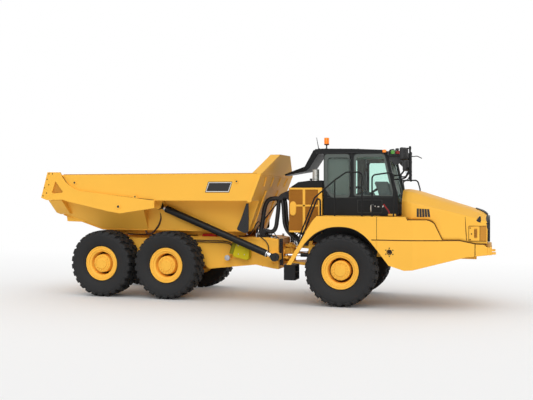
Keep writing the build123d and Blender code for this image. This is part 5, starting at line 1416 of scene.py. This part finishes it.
# ================================================================= roof and mirrors
# The roof sheet carries a beacon on a stem, an aerial and lamps on a bracket; mirror
# heads in moulded housings are clamped to a tube that two arms hold off the pillar.
roof_edge = tube([(-0.655, 0.862, 3.452), (-0.62, 0.862, 3.408), (0.90, 0.862, 3.408),
                  (0.972, 0.858, 3.432)], 0.012, 8)
gutter = both(roof_edge)
visor = join(*[strip([(x, -0.80, z), (x, 0.80, z)], 0.012, 0.010, (1, 0, 0.3))
               for x, z in ((0.30, 3.506), (-0.10, 3.513), (-0.45, 3.522))])
piece("roof_gutters", here(join(gutter, visor)), black_paint, "front_unit")
beacon_low, beacon_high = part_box("beacon")
middle = (beacon_low + beacon_high) / 2
base_z, top_z = 3.640, beacon_high.z
dome_z = np.linspace(0, 1, 31)
dome_r = 0.0585 + 0.0025 * np.cos(dome_z * 2 * np.pi * 12)
tall = top_z - base_z
dome = np.concatenate([[(0.0, 0.0)], np.stack([dome_r, dome_z * (tall - 0.012)], -1),
                       [(0.050, tall - 0.003), (0.030, tall), (0, tall)]])
piece("beacon_dome", shifted(upright(turned(dome, 36)), (middle.x, middle.y, base_z)), lens_amber,
      "front_unit", edge=60)
stem = turned([(0.0, 0.0), (0.045, 0.0), (0.045, 0.010), (0.016, 0.016), (0.016, 0.100),
               (0.050, 0.108), (0.060, 0.118), (0.060, 0.130), (0.0, 0.130)], 28)
beacon = piece("beacon_stem", shifted(upright(stem), (middle.x, middle.y, beacon_low.z)),
               dash_black, "front_unit")
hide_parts("beacon")
aerial = spline([(-0.660, -0.52, 3.512), (-0.672, -0.52, 3.580), (-0.695, -0.52, 3.700),
                 (-0.712, -0.52, 3.798)], 5)
piece("aerial", here(join(tube(aerial, np.linspace(0.011, 0.006, len(aerial)), 8),
                          tube([(-0.640, -0.52, 3.500), (-0.648, -0.52, 3.545)], 0.018, 12))),
      dash_black, "front_unit")

bracket = [(0.945, 3.352), (1.290, 3.350), (1.296, 3.190), (1.140, 3.118), (1.060, 3.205),
           (0.985, 3.330)]
lamp_shell = [(0.0, -0.055), (0.075, -0.062), (0.085, 0.0), (0.075, 0.062), (0.0, 0.055),
              (-0.03, 0.03), (-0.03, -0.03)]
lamps_at = (0.50, 0.79)
shells = [shifted(prism(lamp_shell, y - 0.075, y + 0.075), (1.035, 0, 3.425)) for y in lamps_at]
feet = [block((0.960, 1.020), (y - 0.02, y + 0.02), (3.372, 3.440)) for y in lamps_at]
roof_lamps = piece("roof_lamps", here(both(join(
    *shells, *feet, prism(bracket, 0.845, 0.875),
    prism([(1.00, 3.345), (1.29, 3.342), (1.29, 3.330), (1.00, 3.333)], 0.800, 0.930)))),
    dash_black, "front_unit", bevel=0.008)
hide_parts("work_lights")
faces = [shifted(prism([(0.078, -0.050), (0.088, 0.0), (0.078, 0.050), (0.072, 0.0)], y - 0.065,
                       y + 0.065), (1.035, 0, 3.425)) for y in lamps_at]
piece("roof_lamp_lenses", here(both(join(*faces))), lens, "front_unit")


def signal_form(x0, x1, z0, z1):
    """A small round signal lamp with a ribbed lens, on a short collar."""
    r = (x1 - x0) / 2
    z = np.linspace(z0, z1 - r * 0.25, 9)
    out = r * (0.95 + 0.05 * np.cos(np.arange(9) * np.pi))
    profile = np.concatenate([[(0.0, z0)], np.stack([out, z], -1),
                              [(r * 0.6, z1 - 0.004), (0, z1)]])
    return shifted(upright(turned(profile, 24)), ((x0 + x1) / 2, 0.880, 0.0))


lens_green = plastic("green_lens", tone(96, 176, 70), 0.12)
for name, finish_of, slot_name, x0, x1, z0, z1 in (
        ("signal_amber", lens_amber, "amber_lens", 0.862, 0.949, 3.412, 3.478),
        ("signal_green", lens_green, "lamp_glass", 1.045, 1.140, 3.378, 3.460),
        ("signal_red", lens_red, "red_lens", 1.150, 1.250, 3.374, 3.448)):
    piece(name, here(both(signal_form(x0, x1, z0, z1))), finish_of, "front_unit")
caps = join(signal_form(0.960, 1.035, 3.350, 3.440), signal_form(1.150, 1.230, 3.448, 3.502),
            block((0.850, 0.960), (0.862, 0.895), (3.404, 3.416)),
            block((1.040, 1.260), (0.862, 0.895), (3.348, 3.376)))
piece("signal_mounts", here(both(caps)), dash_black, "front_unit", bevel=0.003)


# each head's middle, width, height, depth and turn about the upright axis
RIGHT_HEADS = [((1.412, 1.215, 3.362), 0.250, 0.270, 0.080, -1.10),
               ((1.448, 1.215, 3.105), 0.190, 0.240, 0.065, -1.10)]
LEFT_HEADS = [((1.240, 1.215, 3.362), 0.235, 0.262, 0.075, -1.15),
              ((1.240, 1.215, 3.090), 0.175, 0.235, 0.065, -1.15)]


def oblong(width, height, radius):
    """A rectangle about the origin with rounded corners."""
    w, h = width / 2, height / 2
    return rounded([(-w, -h), (w, -h), (w, h), (-w, h)], radius)


def swung(form, turn, place):
    """A form turned about the upright axis and set at a place."""
    c, n = math.cos(turn), math.sin(turn)
    return shifted((form[0] @ np.array([[c, -n, 0], [n, c, 0], [0, 0, 1]]).T, form[1]), place)


def mirror_head(middle, width, height, depth, turn):
    """A moulded mirror housing: a rounded shell that narrows to its back, round the pane."""
    outline = oblong(width, height, 0.035)
    # how wide the shell is and how far back, from the pane round the rim to the back
    rows = [(0.0, 0.06), (0.93, 0.06), (0.95, 0.0), (1.0, 0.35), (0.93, 0.75), (0.78, 1.0),
            (0.0, 1.0)]
    points = np.stack([np.stack([outline[:, 0] * k, np.full(len(outline), -depth * (1 - d)),
                                 outline[:, 1] * k], -1) for k, d in rows])
    return swung(grid(points, round_v=True), turn, middle)


def mirror_pane(middle, width, height, depth, turn):
    """The silvered pane in a head's open side."""
    pane = prism(oblong(width, height, 0.03) * 0.9, -depth - 0.004, -depth + 0.010)
    return swung(pane, turn, middle)


def on_heads(form):
    """One form for each head, those on the right mirrored over."""
    right, left = (join(*[form(*row) for row in rows]) for rows in (RIGHT_HEADS, LEFT_HEADS))
    return here(join(across(right), left))


def mirror_tubes(post_x):
    """The upright tube, and two bent arms from the pillar to it."""
    post = [(post_x, 1.215, 3.520), (post_x + 0.003, 1.215, 3.20), (post_x + 0.003, 1.215, 2.785)]
    high = [(1.085, 0.855, 2.905), (1.167, 0.935, 2.900), (1.283, 1.010, 2.916),
            (1.373, 1.090, 3.010), (1.430, 1.140, 3.026), (1.500, 1.215, 3.030)]
    low = [(1.110, 0.855, 2.812), (1.272, 0.985, 2.816), (1.379, 1.060, 2.840),
           (1.450, 1.150, 2.915), (1.500, 1.215, 2.945)]
    squeeze = (post_x - 1.085) / 0.415
    arms = [spline([(1.085 + (x - 1.085) * squeeze, y, z) for x, y, z in row], 5)
            for row in (high, low)]
    clamps = [tube([(post_x + 0.002, 1.215, z), (post_x + 0.002, 1.215, z + 0.05)], 0.026, 14,
                   (1, 0, 0)) for z in (3.005, 2.920, 3.240, 3.450)]
    links = [tube([(post_x, 1.215, z), (post_x - 0.06, 1.215, z)], 0.014, 10)
             for z in (3.265, 3.475, 3.06)]
    feet = [block((x - 0.03, x + 0.03), (0.840, 0.872), (z - 0.045, z + 0.045))
            for x, z in ((1.070, 2.900), (1.090, 2.810))]
    return join(tube(post, 0.022, 14, (1, 0, 0)), tube(arms[0], 0.018, 12, (0, 0, 1)),
                tube(arms[1], 0.016, 12, (0, 0, 1)), *clamps, *links, *feet)


mirrors = piece("mirror_arms", here(join(across(mirror_tubes(1.500)), mirror_tubes(1.285))),
                black_paint, "front_unit", bevel=0.002)
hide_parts("mirrors")
piece("mirror_heads", on_heads(mirror_head), black_plastic_and_shade, "front_unit", edge=50)
silver = metal("mirror_silver", tone(205, 212, 216), 0.03, 0.02)
hook = spline([(1.230, 1.200, 3.440), (1.330, 1.200, 3.408), (1.430, 1.200, 3.414),
               (1.500, 1.200, 3.385), (1.552, 1.200, 3.358)], 5)
piece("mirror_panes", on_heads(mirror_pane), silver, "front_unit")
piece("lamp_hook", here(tube(hook, 0.011, 8)), dash_black, "front_unit")


# ================================================================= handrail stays
# A second steel tube runs up beside each sloping handrail and bends down to the deck,
# where it is welded to a foot plate; both are painted black.
stay = spline([(-0.900, 1.310, 1.440), (-0.720, 1.310, 1.890), (-0.545, 1.310, 2.320),
               (-0.505, 1.310, 2.375), (-0.460, 1.310, 2.350), (-0.450, 1.310, 2.260),
               (-0.450, 1.310, 2.010)], 6)
foot_pad = block((-0.500, -0.400), (1.270, 1.350), (2.000, 2.012))
piece("handrail_stays", here(both(join(tube(stay, 0.020, 14), foot_pad))), black_paint,
      "front_unit")


# ================================================================= engine and drivelines
# The engine, gearboxes, shafts and struts, of cast and forged steel, are bolted inside
# the frames and mostly hidden; the engine is grey and the others are dark castings.
steel = paint("grey_steel", tone(92, 93, 94), 0.5, 0.0, grain=0.1)
dress(steel, "engine")
dress(casting, "rear_driveline", "front_driveline", "front_suspension")
